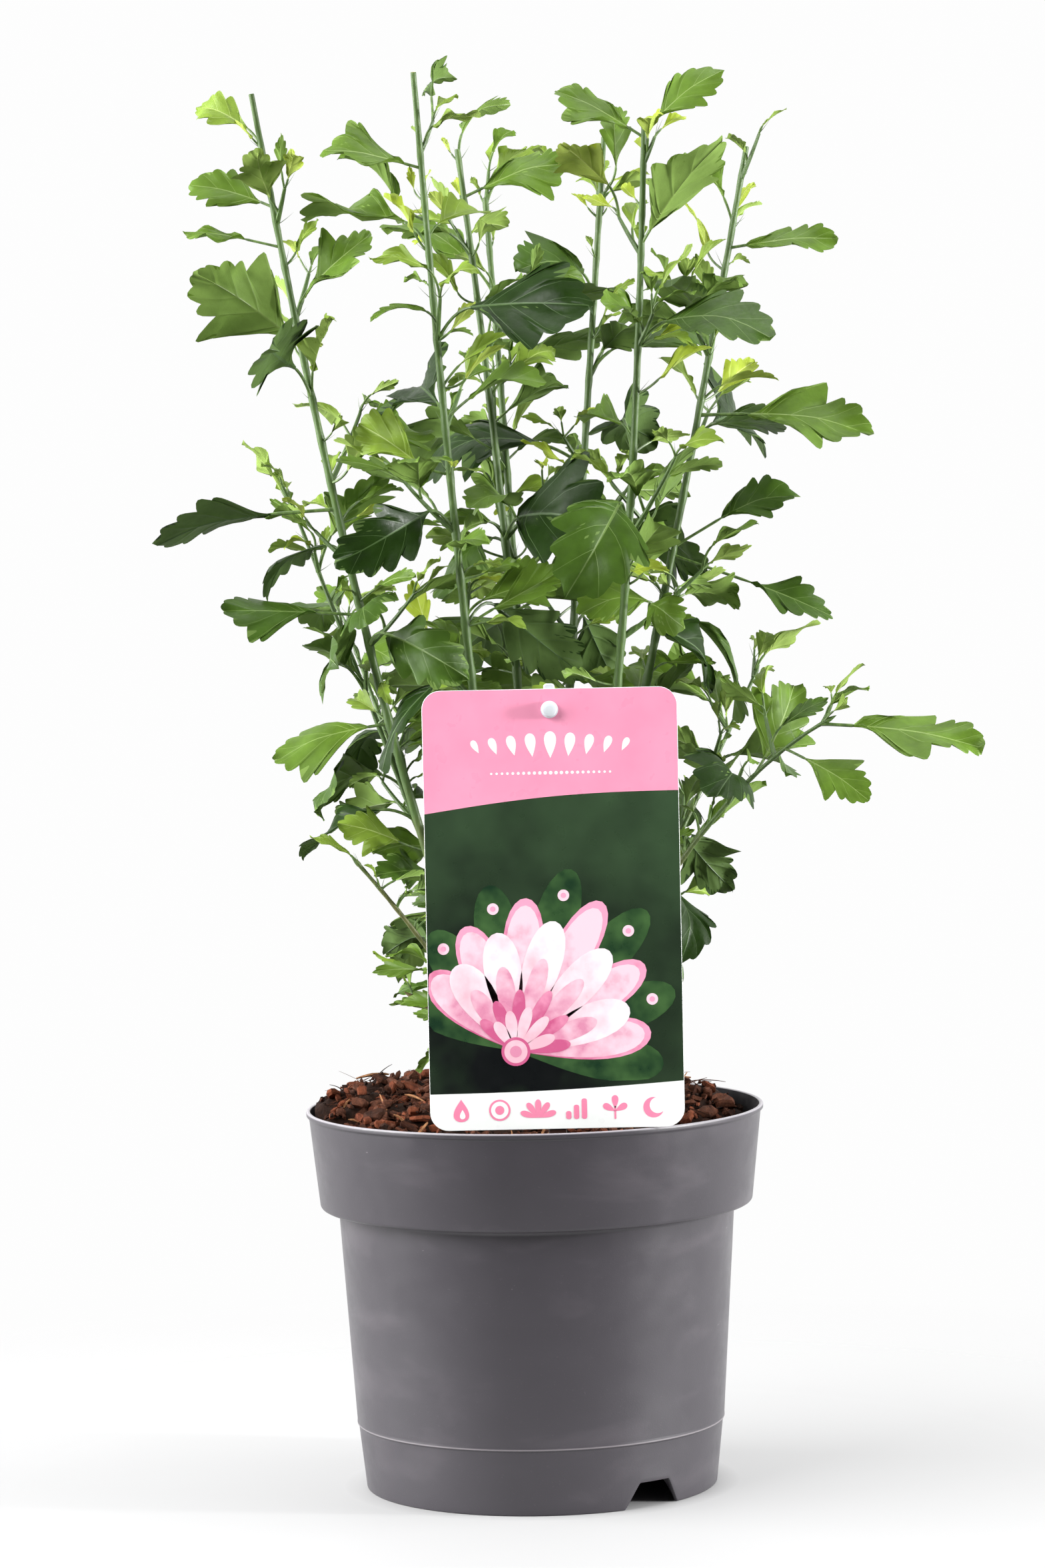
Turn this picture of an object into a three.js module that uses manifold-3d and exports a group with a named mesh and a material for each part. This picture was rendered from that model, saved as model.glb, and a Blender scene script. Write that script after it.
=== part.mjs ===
// Hibiscus shrub in a round nursery pot: several pruned canes rise from one short woody stock,
// each clothed with lobed leaves, and a printed plant label stands on its stick inside the rim.
// Millimetres, +Z up, with -Y on the label's side. Sizes are set out round the pot's axis, from the
// floor up, and the finished shrub is then moved so that the middle of its box is the origin.
import * as THREE from "three";
import { mergeVertices } from "three/addons/utils/BufferGeometryUtils.js";
import Module from "manifold-3d";

const wasm = await Module();
wasm.setup();

const GAP = 0.3; // clearance left between pieces that touch
const DEG = Math.PI / 180;

// ---------------------------------------------------------------- driving sizes: pot and compost
const POT = {
  height: 191,
  rimRadius: 115, // outside of the lip
  bandTopRadius: 113.6,
  bandFootRadius: 109.2,
  bandFoot: 142, // height of the band's lower edge
  bodyTopRadius: 99.5,
  seamRadius: 92.6, // the body steps in by seamStep here
  seam: 33,
  seamStep: 0.7,
  baseRadius: 88.4,
  wall: 1.8,
  floor: 13, // underside of the raised floor
  sides: 48,
};
// Drainage notches in the foot, each cut by a wedge that starts this far inward of the foot's edge.
const NOTCH = { count: 2, bearing: -52, bottomWidth: 33, topWidth: 18, height: 13, inward: 18, depth: 24 };
const COMPOST = {
  edge: 180, // height against the pot's wall
  crown: 191, // height in the middle
  lump: 3,
  lean: 9, // how much fuller the back left is
  flat: 18, // without lumps out to this radius
  rings: [92, 66, 40, 18],
  sides: POT.sides / 2,
};

// ---------------------------------------------------------------- driving sizes: label
const LABEL = { width: 123, height: 213, thick: 0.8, corner: 9, centre: 11, foot: 191.5, front: -100 };
const HOLE = { radius: 3.3, below: 10 }; // peg hole, and its distance from the label's top edge
const STICK = {
  width: 9,
  thick: 2.4,
  foot: 152,
  above: 5, // how far it stands over the card
  round: 0.8, // its corners, as a share of its half width
  pegRadius: 2.6,
  headRadius: 4.4,
  headThick: 1.6,
};

// ---------------------------------------------------------------- driving sizes: stock, canes, leaves
const STOCK = { foot: 191.3, height: 27, flare: 12.5, waist: 8.6, head: 10.4, lean: 1.5, sides: 14 };
const LEAF_THICK = 1.2;
const STALK_RADIUS = 0.95;
const TWIG_RADIUS = 1.25;
const FOLIAGE_TOLERANCE = 0.25; // a joined mass is simplified within this
const CROWN_TOP = 711;
const TURN = 144; // degrees from one leaf to the next round a cane

// Each cane springs from the stock at the bearing foot, heads for its knee and ends at its tip.
// ring: radius and height of the feet. radii: of the cane, at its foot and at its tip.
// from: share of the cane where leaves begin. stub: bare cut end. spacing: between leaf nodes.
// leaf: blade length in mid-cane. turn: bearing of the topmost leaf. side: reach of the side twigs.
const UPRIGHT = {
  ring: [10, 211], radii: [3.5, 1.9], from: 0.36, stub: 26, spacing: 44, leaf: 66, side: 1,
};
const SHOOT = {
  ring: [10.5, 199], radii: [2.3, 1.2], from: 0.34, stub: 0, spacing: 32, leaf: 56, side: 0.5,
};
const caneOf = (kind, name, foot, knee, tip, turn, seed, own = {}) => ({
  ...kind, name, foot, knee, tip, turn, seed, ...own,
});
const CANES = [
  caneOf(UPRIGHT, "left", 205, [-66, -8, 310], [-129, -30, 697], 150, 45),
  caneOf(UPRIGHT, "front_left", 257, [-24, -18, 310], [-48, -90, 701], 20, 59, { stub: 38 }),
  caneOf(UPRIGHT, "middle", 154, [12, 26, 330], [-29, 30, 672], 60, 57, { stub: 5 }),
  caneOf(UPRIGHT, "back", 106, [6, 40, 320], [-16, 110, 652], 40, 54, { stub: 3 }),
  caneOf(UPRIGHT, "back_right", 60, [15, 22, 310], [46, 90, 681], 100, 13, { stub: 42 }),
  caneOf(UPRIGHT, "front_right", 309, [50, -14, 310], [63, -60, 676], 30, 81, { stub: 18 }),
  caneOf(UPRIGHT, "right", 12, [46, 8, 310], [117, 40, 671], 330, 19, { stub: 16 }),
  caneOf(SHOOT, "low_left", 180, [-46, 18, 306], [-116, 32, 494], 170, 84),
  caneOf(SHOOT, "low_right", 336, [78, -24, 345], [147, -40, 383], 0, 76, { from: 0.42 }),
  caneOf(SHOOT, "low_front", 231, [-40, -30, 264], [-84, -34, 316], 180, 48, { leaf: 46 }),
  caneOf(SHOOT, "low_side", 284, [-24, -34, 226], [-58, -40, 250], 190, 7, { leaf: 42 }),
  caneOf(SHOOT, "low_back_right", 36, [56, 34, 280], [118, 78, 402], 20, 18),
  caneOf(SHOOT, "low_back_left", 130, [-38, 48, 276], [-92, 98, 430], 130, 10),
  caneOf(SHOOT, "low_back", 83, [6, 56, 262], [24, 124, 352], 90, 14),
];
// Leaves that give the crown its outline, each as its cane, the distance below the cane's tip,
// bearing, pitch, stalk, length and roll.
const LEADERS = [
  ["left", 56, 168, 24, 4, 40, -56],
  ["left", 76, 178, 14, 16, 32, -30],
  ["left", 126, 212, 38, 5, 66, 66],
  ["left", 208, 180, -3, 30, 62, 20],
  ["left", 262, 184, 4, 20, 48, -34],
  ["left", 318, 178, -8, 8, 52, -40],
  ["front_left", 46, 190, 16, 6, 42, -38],
  ["middle", 24, 352, 24, 8, 46, 40],
  ["front_right", 4, 350, 46, 6, 42, 46],
  ["front_right", 6, 176, 34, 6, 42, -40],
  ["front_right", 58, 322, 52, 6, 62, -16],
  ["right", 30, 20, 50, 6, 46, 55],
  ["right", 52, 352, 8, 6, 48, 30],
  ["right", 138, 352, 0, 22, 66, 34],
  ["right", 206, 352, 30, 26, 42, 44],
  ["right", 210, 350, -20, 40, 46, 36],
  ["low_right", 2, 352, -4, 14, 66, 22],
  ["low_right", 44, 50, 44, 8, 52, 50],
  ["low_right", 24, 330, -24, 10, 40, 30],
];

// How leaves sit, by chance within [least, most]. Those in top and low are for the cane's highest and
// lowest node. Angles are in degrees; stalk is a share of the blade's length.
const ON_CANE = {
  place: [-4, 4], // along the cane, about its node
  swing: [-20, 20], // about the spiral's bearing
  size: [0.86, 1.14],
  rise: [-10, 10],
  stalk: [0.22, 0.36],
  yaw: [-14, 14],
  pitch: [-16, 16],
  roll: [10, 58], // to either side
  width: [0.9, 1.18],
  bend: [0, 24],
  fold: [6, 22],
  twist: [-28, 28],
  top: { rise: 58, pitch: 46, bend: 18, growing: 0.6, full: 1.16 },
  low: { rise: 22, pitch: -34, bend: 48, growing: 1.6, full: 0.82 },
};
const ON_TWIG = {
  swing: [45, 95], // to either side of the twig, by turns
  size: [0.8, 1.2],
  rise: [8, -12],
  stalk: [0.16, 0.26],
  yaw: [-12, 12],
  pitch: [-5, -40],
  roll: [10, 60],
  width: [0.85, 1.15],
  bend: [15, 55],
  fold: [8, 28],
  twist: [-30, 30],
  shares: [0.35, 1], // of the twig, from its lowest leaf to its last
  sizes: [1.05, 0.6], // of those leaves
};
// Twigs in the cane's leaf axils: above and below the young share of the cane.
const TWIG = {
  young: 0.2,
  high: { reach: [10, 22], leaf: 0.52 },
  deep: { reach: [14, 54], leaf: 0.68 },
  least: 4, // added to the reach
  swing: [-50, 50], // about the leaf's bearing
  rise: [64, 34],
  leafEvery: 30,
};
// An outline leaf's own sizes.
const LEADER = { width: 1.05, bend: 12, fold: 9, twist: 8 };

// ---------------------------------------------------------------- small vector helpers on [x, y, z]
const add = (a, b, k = 1) => [a[0] + b[0] * k, a[1] + b[1] * k, a[2] + b[2] * k];
const sub = (a, b) => add(a, b, -1);
const dot = (a, b) => a[0] * b[0] + a[1] * b[1] + a[2] * b[2];
const cross = (a, b) => [a[1] * b[2] - a[2] * b[1], a[2] * b[0] - a[0] * b[2], a[0] * b[1] - a[1] * b[0]];
const unit = (a) => add([0, 0, 0], a, 1 / Math.hypot(...a));
const mix = (a, b, t) => a + (b - a) * t;
const mixPoint = (a, b, t) => add(a, sub(b, a), t);
// Direction at a compass bearing round +Z and an elevation above the horizon, both in degrees.
const heading = (bearing, elevation) => [
  Math.cos(bearing * DEG) * Math.cos(elevation * DEG),
  Math.sin(bearing * DEG) * Math.cos(elevation * DEG),
  Math.sin(elevation * DEG),
];
// Turns v about the unit vector k.
const turned = (v, k, degrees) => {
  const c = Math.cos(degrees * DEG);
  const s = Math.sin(degrees * DEG);
  return add(add(add([0, 0, 0], v, c), cross(k, v), s), k, dot(k, v) * (1 - c));
};

// Seeded numbers from 0 to 1.
function dice(seed) {
  let state = seed >>> 0;
  return () => {
    state = (state + 0x6d2b79f5) >>> 0;
    let t = Math.imul(state ^ (state >>> 15), 1 | state);
    t = (t + Math.imul(t ^ (t >>> 7), 61 | t)) ^ t;
    return ((t ^ (t >>> 14)) >>> 0) / 4294967296;
  };
}

// ---------------------------------------------------------------- cane paths
const PATH_STEPS = 24;

// A cane's centre line: a quadratic curve from the stock through its knee's pull to its tip.
function canePath(cane) {
  const [radius, height] = cane.ring;
  const start = add([0, 0, height], heading(cane.foot, 0), radius);
  const points = [];
  for (let i = 0; i <= PATH_STEPS; i++) {
    const t = i / PATH_STEPS;
    points.push(mixPoint(mixPoint(start, cane.knee, t), mixPoint(cane.knee, cane.tip, t), t));
  }
  const reach = [0];
  for (let i = 1; i <= PATH_STEPS; i++)
    reach.push(reach[i - 1] + Math.hypot(...sub(points[i], points[i - 1])));
  return { points, reach, length: reach[PATH_STEPS] };
}

// The point, direction and radius at a distance along the cane.
function alongCane(cane, path, distance) {
  let i = 1;
  while (i < PATH_STEPS && path.reach[i] < distance) i++;
  const span = path.reach[i] - path.reach[i - 1];
  return {
    point: mixPoint(path.points[i - 1], path.points[i], (distance - path.reach[i - 1]) / span),
    along: unit(sub(path.points[i], path.points[i - 1])),
    radius: mix(cane.radii[0], cane.radii[1], distance / path.length),
  };
}

// ---------------------------------------------------------------- leaf blades
// half: outline of the blade's right half as [share of length, share of length across], base to tip.
// rib: places down the midrib. fans: triangles over half, then rib.
const BROAD = {
  half: [[0, 0], [0.17, 0.2], [0.47, 0.36], [0.74, 0.19], [1, 0]],
  rib: [0.45],
  fans: [[0, 1, 5], [1, 2, 5], [2, 3, 5], [3, 4, 5]],
};
const YOUNG = {
  half: [[0, 0], [0.24, 0.22], [0.64, 0.24], [1, 0]],
  rib: [0.45],
  fans: [[0, 1, 4], [1, 2, 4], [2, 3, 4]],
};
const YOUNG_BELOW = 42; // blades shorter than this have the young outline

// A point of the blade's middle surface at u along and v across, in millimetres, with its normal.
// The blade arches down by bend over its length, turns by twist, and its halves fold up by fold.
function onBlade(leaf, u, v) {
  const share = u / leaf.length;
  const angle = leaf.bend * DEG * share;
  const run = (Math.sin(angle) * leaf.length) / (leaf.bend * DEG);
  const fall = ((1 - Math.cos(angle)) * leaf.length) / (leaf.bend * DEG);
  const out = add(add([0, 0, 0], leaf.out, Math.cos(angle)), leaf.up, -Math.sin(angle));
  const up = add(add([0, 0, 0], leaf.up, Math.cos(angle)), leaf.out, Math.sin(angle));
  const side = turned(leaf.side, out, leaf.twist * share);
  const lift = turned(up, out, leaf.twist * share);
  const centre = add(add(leaf.base, leaf.out, run), leaf.up, -fall);
  const rise = Math.abs(v) * Math.sin(leaf.fold * DEG);
  return { point: add(add(centre, side, v * Math.cos(leaf.fold * DEG)), lift, rise), normal: lift };
}

// The flat pattern of a whole blade: its corners, its triangles (right half first) and its edges.
function pattern({ half, rib, fans }) {
  const corners = [...half, ...rib.map((u) => [u, 0])];
  const across = corners.map(([u, v], i) => (v === 0 ? i : corners.push([u, -v]) - 1));
  const faces = [...fans, ...fans.map(([a, b, c]) => [across[c], across[b], across[a]])];
  const edges = new Map();
  for (const face of faces)
    face.forEach((a, i) => {
      const b = face[(i + 1) % 3];
      edges.set(Math.min(a, b) + "_" + Math.max(a, b), [a, b]);
    });
  const ribs = rib.map((_, i) => half.length + i);
  return { corners, faces, edges: [...edges.values()], ribs, split: fans.length };
}
const BROAD_BLADE = pattern(BROAD);
const YOUNG_BLADE = pattern(YOUNG);
const BLADE_REACH = 0.62; // of a blade's length: the sphere round its middle that holds it

function surfaceOf(leaf) {
  const shape = leaf.length < YOUNG_BELOW ? YOUNG_BLADE : BROAD_BLADE;
  const breadth = leaf.length * leaf.width;
  const spots = shape.corners.map(([u, v]) => onBlade(leaf, u * leaf.length, v * breadth));
  const points = spots.map((s) => s.point);
  const faces = shape.faces.map((f) => f.map((i) => points[i]));
  const edges = shape.edges.map((e) => e.map((i) => points[i]));
  const centre = onBlade(leaf, leaf.length / 2, 0).point;
  return { shape, spots, points, faces, edges, centre, reach: leaf.length * BLADE_REACH };
}

// ---------------------------------------------------------------- keeping leaves and limbs apart
const LEAF_CLEAR = 1.6;
const LIMB_CLEAR = 0.8;
const LIMB_REACH = 2; // added to the sphere round a limb's middle that holds it
const ROOM = { beside: 5, behind: 7, over: 8 }; // kept round the label, and over the rim

// True if the segment a-b passes through the triangle, moved by shift along its normal.
function crosses(a, b, [p, q, r], shift) {
  const e1 = sub(q, p);
  const e2 = sub(r, p);
  const normal = unit(cross(e1, e2));
  const origin = sub(a, add(p, normal, shift));
  const d = sub(b, a);
  const h = cross(d, e2);
  const det = dot(e1, h);
  if (Math.abs(det) < 1e-9) return false;
  const u = dot(origin, h) / det;
  if (u < 0 || u > 1) return false;
  const k = cross(origin, e1);
  const v = dot(d, k) / det;
  if (v < 0 || u + v > 1) return false;
  const t = dot(e2, k) / det;
  return t >= 0 && t <= 1;
}

// Shortest distance between the segments a-b and c-d.
function apart(a, b, c, d) {
  const u = sub(b, a);
  const v = sub(d, c);
  const w = sub(a, c);
  const uu = dot(u, u);
  const vv = dot(v, v);
  const uv = dot(u, v);
  const clamp = (x) => Math.min(1, Math.max(0, x));
  const bottom = uu * vv - uv * uv;
  let s = bottom > 1e-9 ? clamp((uv * dot(v, w) - vv * dot(u, w)) / bottom) : 0;
  const t = clamp((uv * s + dot(v, w)) / vv);
  s = clamp((uv * t - dot(u, w)) / uu);
  return Math.hypot(...sub(add(a, u, s), add(c, v, t)));
}

const near = (a, b, reach) => Math.hypot(...sub(a, b)) < reach;
const anyCrossing = (edges, faces, shifts) =>
  edges.some(([a, b]) => faces.some((face) => shifts.some((shift) => crosses(a, b, face, shift))));

// True if a blade keeps clear of the label, the compost, the pot's rim and the crown's top.
function inOpenAir(points) {
  const side = LABEL.width / 2 + ROOM.beside;
  const top = LABEL.foot + LABEL.height + ROOM.over;
  return points.every(([x, y, z]) => {
    const byLabel = y < LABEL.front + ROOM.behind && z < top && Math.abs(x - LABEL.centre) < side;
    const low = Math.hypot(x, y) < POT.rimRadius + ROOM.over && z < POT.height + ROOM.over;
    return !byLabel && !low && z < CROWN_TOP;
  });
}

function bladeFits(blade, own, plant) {
  if (!inOpenAir(blade.points)) return false;
  const shifts = [-LEAF_CLEAR, 0, LEAF_CLEAR];
  for (const other of plant.blades) {
    if (!near(blade.centre, other.centre, blade.reach + other.reach)) continue;
    if (anyCrossing(blade.edges, other.faces, shifts)) return false;
    if (anyCrossing(other.edges, blade.faces, shifts)) return false;
  }
  for (const limb of plant.limbs) {
    if (limb === own || !near(blade.centre, limb.centre, blade.reach + limb.reach)) continue;
    if (anyCrossing([[limb.a, limb.b]], blade.faces, [0])) return false;
    if (blade.edges.some(([a, b]) => apart(a, b, limb.a, limb.b) < limb.radius + LIMB_CLEAR)) return false;
  }
  return true;
}

function limbFits(limb, plant) {
  if (!inOpenAir([limb.b])) return false;
  for (const other of plant.limbs) {
    if (other.mass === limb.mass || !near(limb.centre, other.centre, limb.reach + other.reach)) continue;
    if (apart(limb.a, limb.b, other.a, other.b) < limb.radius + other.radius + LIMB_CLEAR) return false;
  }
  return plant.blades.every(
    (blade) =>
      !near(limb.centre, blade.centre, limb.reach + blade.reach) ||
      !(
        anyCrossing([[limb.a, limb.b]], blade.faces, [0]) ||
        blade.edges.some(([a, b]) => apart(a, b, limb.a, limb.b) < limb.radius + LIMB_CLEAR)
      ),
  );
}

function makeLimb(mass, a, b, radius) {
  const reach = Math.hypot(...sub(b, a)) / 2 + radius + LIMB_REACH;
  return { mass, a, b, radius, centre: mixPoint(a, b, 0.5), reach };
}

// ---------------------------------------------------------------- the growth rule
// Other poses tried, in turn, by a leaf that touches something: [bearing, elevation] in degrees.
const RETRIES = [[0, 0], [26, 8], [-26, 8], [48, -12], [-48, -12], [75, 16], [-75, 16]];

// One leaf: its stalk from the limb to the blade's base, then the blade beyond.
function tryLeaf(plant, mass, wish, poses = RETRIES) {
  for (const [swing, lift] of poses) {
    const base = add(wish.from, heading(wish.bearing + swing, wish.rise + lift), wish.stalk);
    const out = heading(wish.bearing + swing + wish.yaw, wish.pitch + lift);
    const level = unit(cross(out, [0, 0, 1]));
    const side = turned(level, out, wish.roll);
    const leaf = { ...wish, mass, base, out, side, up: cross(side, out) };
    const stalk = makeLimb(mass, wish.from, base, STALK_RADIUS);
    const blade = surfaceOf(leaf);
    if (!bladeFits(blade, stalk, plant) || !limbFits(stalk, plant)) continue;
    plant.leaves.push(leaf);
    plant.blades.push(blade);
    plant.limbs.push(stalk);
    return;
  }
}

const LEADER_ROOM = 15; // the rule's leaf is left out where one of the outline's is this near
const BARE_END = 6; // between the lowest node and the start of the leafy length
const SEED_STEP = 1000; // from one cane seed's numbers to the next's
const within = (roll, [least, most]) => mix(least, most, roll());
const eitherWay = (roll, range) => (roll() < 0.5 ? -1 : 1) * within(roll, range);

// A side twig in a leaf's axil, with smaller leaves winding up it and one at its end.
function growTwig(plant, mass, roll, { at, bearing, rise, length, leafLength }) {
  const tip = add(at, heading(bearing, rise), length);
  const twig = makeLimb(mass, at, tip, TWIG_RADIUS);
  if (!limbFits(twig, plant)) return;
  plant.limbs.push(twig);
  plant.twigs.push(twig);
  const last = 1 + Math.floor(length / TWIG.leafEvery);
  for (let i = 0; i <= last; i++) {
    const share = mix(...ON_TWIG.shares, i / last);
    const size = leafLength * mix(...ON_TWIG.sizes, share) * within(roll, ON_TWIG.size);
    tryLeaf(plant, mass, {
      from: mixPoint(at, tip, share * 0.98),
      bearing: bearing + (i === last ? 0 : (i % 2 ? 1 : -1) * within(roll, ON_TWIG.swing)),
      rise: rise + within(roll, ON_TWIG.rise),
      stalk: size * within(roll, ON_TWIG.stalk) + TWIG_RADIUS,
      yaw: within(roll, ON_TWIG.yaw),
      pitch: rise + within(roll, ON_TWIG.pitch),
      roll: eitherWay(roll, ON_TWIG.roll),
      length: size,
      width: within(roll, ON_TWIG.width),
      bend: within(roll, ON_TWIG.bend),
      fold: within(roll, ON_TWIG.fold),
      twist: within(roll, ON_TWIG.twist),
    });
  }
}

// One named leaf of the outline, placed as stated or not at all.
function growLeader(plant, cane, path, [, below, bearing, pitch, stalk, length, roll]) {
  const from = alongCane(cane, path, path.length - below).point;
  const wish = {
    ...LEADER, from, bearing, rise: pitch, stalk: stalk + cane.radii[1], yaw: 0, pitch, roll, length,
  };
  tryLeaf(plant, cane.name, wish, RETRIES.slice(0, 1));
}

// Leaves and side twigs down one cane, from its tip to the height where it is bare.
function clothe(plant, cane) {
  const { top, low } = ON_CANE;
  const path = canePath(cane);
  const run = path.length * (1 - cane.from) - cane.stub - BARE_END;
  const count = Math.round(run / cane.spacing) + 1;
  const taken = LEADERS.filter(([name]) => name === cane.name).map(([, below]) => path.length - below);
  for (let i = 0; i < count; i++) {
    const roll = dice(cane.seed * SEED_STEP + i);
    const down = i / (count - 1); // 0 at the top, 1 at the lowest node
    const place = i ? within(roll, ON_CANE.place) : 0;
    const distance = path.length - cane.stub - 1 - run * down + place;
    const at = alongCane(cane, path, distance).point;
    const bearing = cane.turn + TURN * i + within(roll, ON_CANE.swing);
    const share = Math.min(mix(top.growing, low.growing, down), mix(top.full, low.full, down));
    const size = cane.leaf * share * within(roll, ON_CANE.size);
    const wish = {
      from: at,
      bearing,
      rise: mix(top.rise, low.rise, down) + within(roll, ON_CANE.rise),
      stalk: size * within(roll, ON_CANE.stalk) + cane.radii[0],
      yaw: within(roll, ON_CANE.yaw),
      pitch: mix(top.pitch, low.pitch, down) + within(roll, ON_CANE.pitch),
      roll: eitherWay(roll, ON_CANE.roll),
      length: size,
      width: within(roll, ON_CANE.width),
      bend: mix(top.bend, low.bend, down) + within(roll, ON_CANE.bend),
      fold: within(roll, ON_CANE.fold),
      twist: within(roll, ON_CANE.twist),
    };
    const free = taken.every((spot) => Math.abs(spot - distance) > LEADER_ROOM);
    if (free) tryLeaf(plant, cane.name, wish);
    const kind = down < TWIG.young ? TWIG.high : TWIG.deep;
    growTwig(plant, cane.name, roll, {
      at,
      length: cane.side * within(roll, kind.reach) + TWIG.least,
      bearing: bearing + within(roll, TWIG.swing),
      rise: mix(...TWIG.rise, down),
      leafLength: cane.leaf * kind.leaf,
    });
  }
}

// The canes' own lines come first and the outline's leaves next, so that no other leaf bars them.
function growPlant() {
  const plant = { leaves: [], blades: [], limbs: [], twigs: [] };
  for (const cane of CANES) {
    const path = canePath(cane);
    for (let i = 0; i < PATH_STEPS; i += 2) {
      const radius = mix(cane.radii[0], cane.radii[1], i / PATH_STEPS);
      plant.limbs.push(makeLimb(cane.name, path.points[i], path.points[i + 2], radius));
    }
  }
  for (const leader of LEADERS) {
    const cane = CANES.find((c) => c.name === leader[0]);
    growLeader(plant, cane, canePath(cane), leader);
  }
  for (const cane of CANES) clothe(plant, cane);
  return plant;
}

// ---------------------------------------------------------------- solids
// A closed geometry as a manifold-3d solid.
function solidOf(geometry) {
  const bare = geometry.clone();
  bare.deleteAttribute("normal");
  bare.deleteAttribute("uv");
  const merged = mergeVertices(bare, 1e-4);
  return new wasm.Manifold(
    new wasm.Mesh({
      numProp: 3,
      vertProperties: merged.attributes.position.array,
      triVerts: new Uint32Array(merged.index.array),
    }),
  );
}

function geometryOf(solid) {
  const mesh = solid.getMesh();
  const geometry = new THREE.BufferGeometry();
  geometry.setAttribute("position", new THREE.BufferAttribute(new Float32Array(mesh.vertProperties), 3));
  geometry.setIndex(new THREE.BufferAttribute(new Uint32Array(mesh.triVerts), 1));
  geometry.computeVertexNormals();
  return geometry;
}

// A lathe about +Z from [radius, height] pairs.
function turnedForm(profile, sides) {
  const outline = profile.map(([r, z]) => new THREE.Vector2(r, z));
  return new THREE.LatheGeometry(outline, sides).rotateX(Math.PI / 2);
}

// A closed round limb along points, its radius given at each: a cylinder bent along them.
function limbForm(points, radii, sides) {
  const rings = points.length - 1;
  const tube = new THREE.CylinderGeometry(1, 1, 1, sides, rings);
  const ways = points.map((p, i) => unit(sub(points[Math.min(i + 1, rings)], points[Math.max(i - 1, 0)])));
  const across = [];
  ways.forEach((way, i) => {
    const guide = i ? across[i - 1] : Math.abs(way[2]) < 0.9 ? [0, 0, 1] : [1, 0, 0];
    across.push(unit(sub(guide, add([0, 0, 0], way, dot(guide, way)))));
  });
  const position = tube.attributes.position;
  for (let i = 0; i < position.count; i++) {
    const ring = Math.round((position.getY(i) + 0.5) * rings);
    const other = cross(ways[ring], across[ring]);
    const spot = add(
      add(points[ring], across[ring], position.getZ(i) * radii[ring]),
      other,
      position.getX(i) * radii[ring],
    );
    position.setXYZ(i, ...spot);
  }
  return tube;
}

const STALK_CORNERS = [[1, 0.5], [-1, 0.5], [0, -1]]; // across and up, in stalk radii

// A leaf as one solid: a three-sided stalk that runs into a lens-like blade, sharp at its outline
// and LEAF_THICK at its midrib.
function leafForm(leaf) {
  const { shape, spots } = surfaceOf(leaf);
  const half = LEAF_THICK / 2;
  const vertices = spots.map((s, i) => (shape.ribs.includes(i) ? add(s.point, s.normal, half) : s.point));
  const lower = new Map(); // the underside's own corners, by the upper side's
  for (const rib of shape.ribs)
    lower.set(rib, vertices.push(add(spots[rib].point, spots[rib].normal, -half)) - 1);
  const ring = (centre, way) => {
    const across = unit(sub(leaf.side, add([0, 0, 0], way, dot(leaf.side, way))));
    const above = cross(across, way);
    return STALK_CORNERS.map(
      ([s, h]) => vertices.push(add(add(centre, across, s * STALK_RADIUS), above, h * STALK_RADIUS)) - 1,
    );
  };
  const root = ring(leaf.from, unit(sub(leaf.base, leaf.from)));
  const neck = ring(leaf.base, leaf.out);
  const [right, left, under] = neck;
  const faces = [[right, shape.ribs[0], left], root];
  shape.faces.forEach((face, i) => {
    const corner = i < shape.split ? right : left;
    faces.push(face.map((v) => (v === 0 ? corner : v)));
    faces.push(face.map((v) => (v === 0 ? under : (lower.get(v) ?? v))).reverse());
  });
  const mirrored = shape.faces[shape.split];
  faces.push([right, under, 1], [left, mirrored.find((v) => v !== 0 && !shape.ribs.includes(v)), under]);
  for (let i = 0; i < 3; i++) {
    const j = (i + 1) % 3;
    faces.push([root[i], neck[i], neck[j]], [root[i], neck[j], root[j]]);
  }
  const geometry = new THREE.BufferGeometry();
  geometry.setAttribute("position", new THREE.Float32BufferAttribute(vertices.flat(), 3));
  geometry.setIndex(faces.flat());
  return geometry;
}

const joined = (solids) => wasm.Manifold.union(solids);
// The largest body of a solid, without loose scraps.
function largest(solid) {
  const bodies = solid.decompose();
  return bodies.reduce((a, b) => (b.volume() > a.volume() ? b : a));
}

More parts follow.
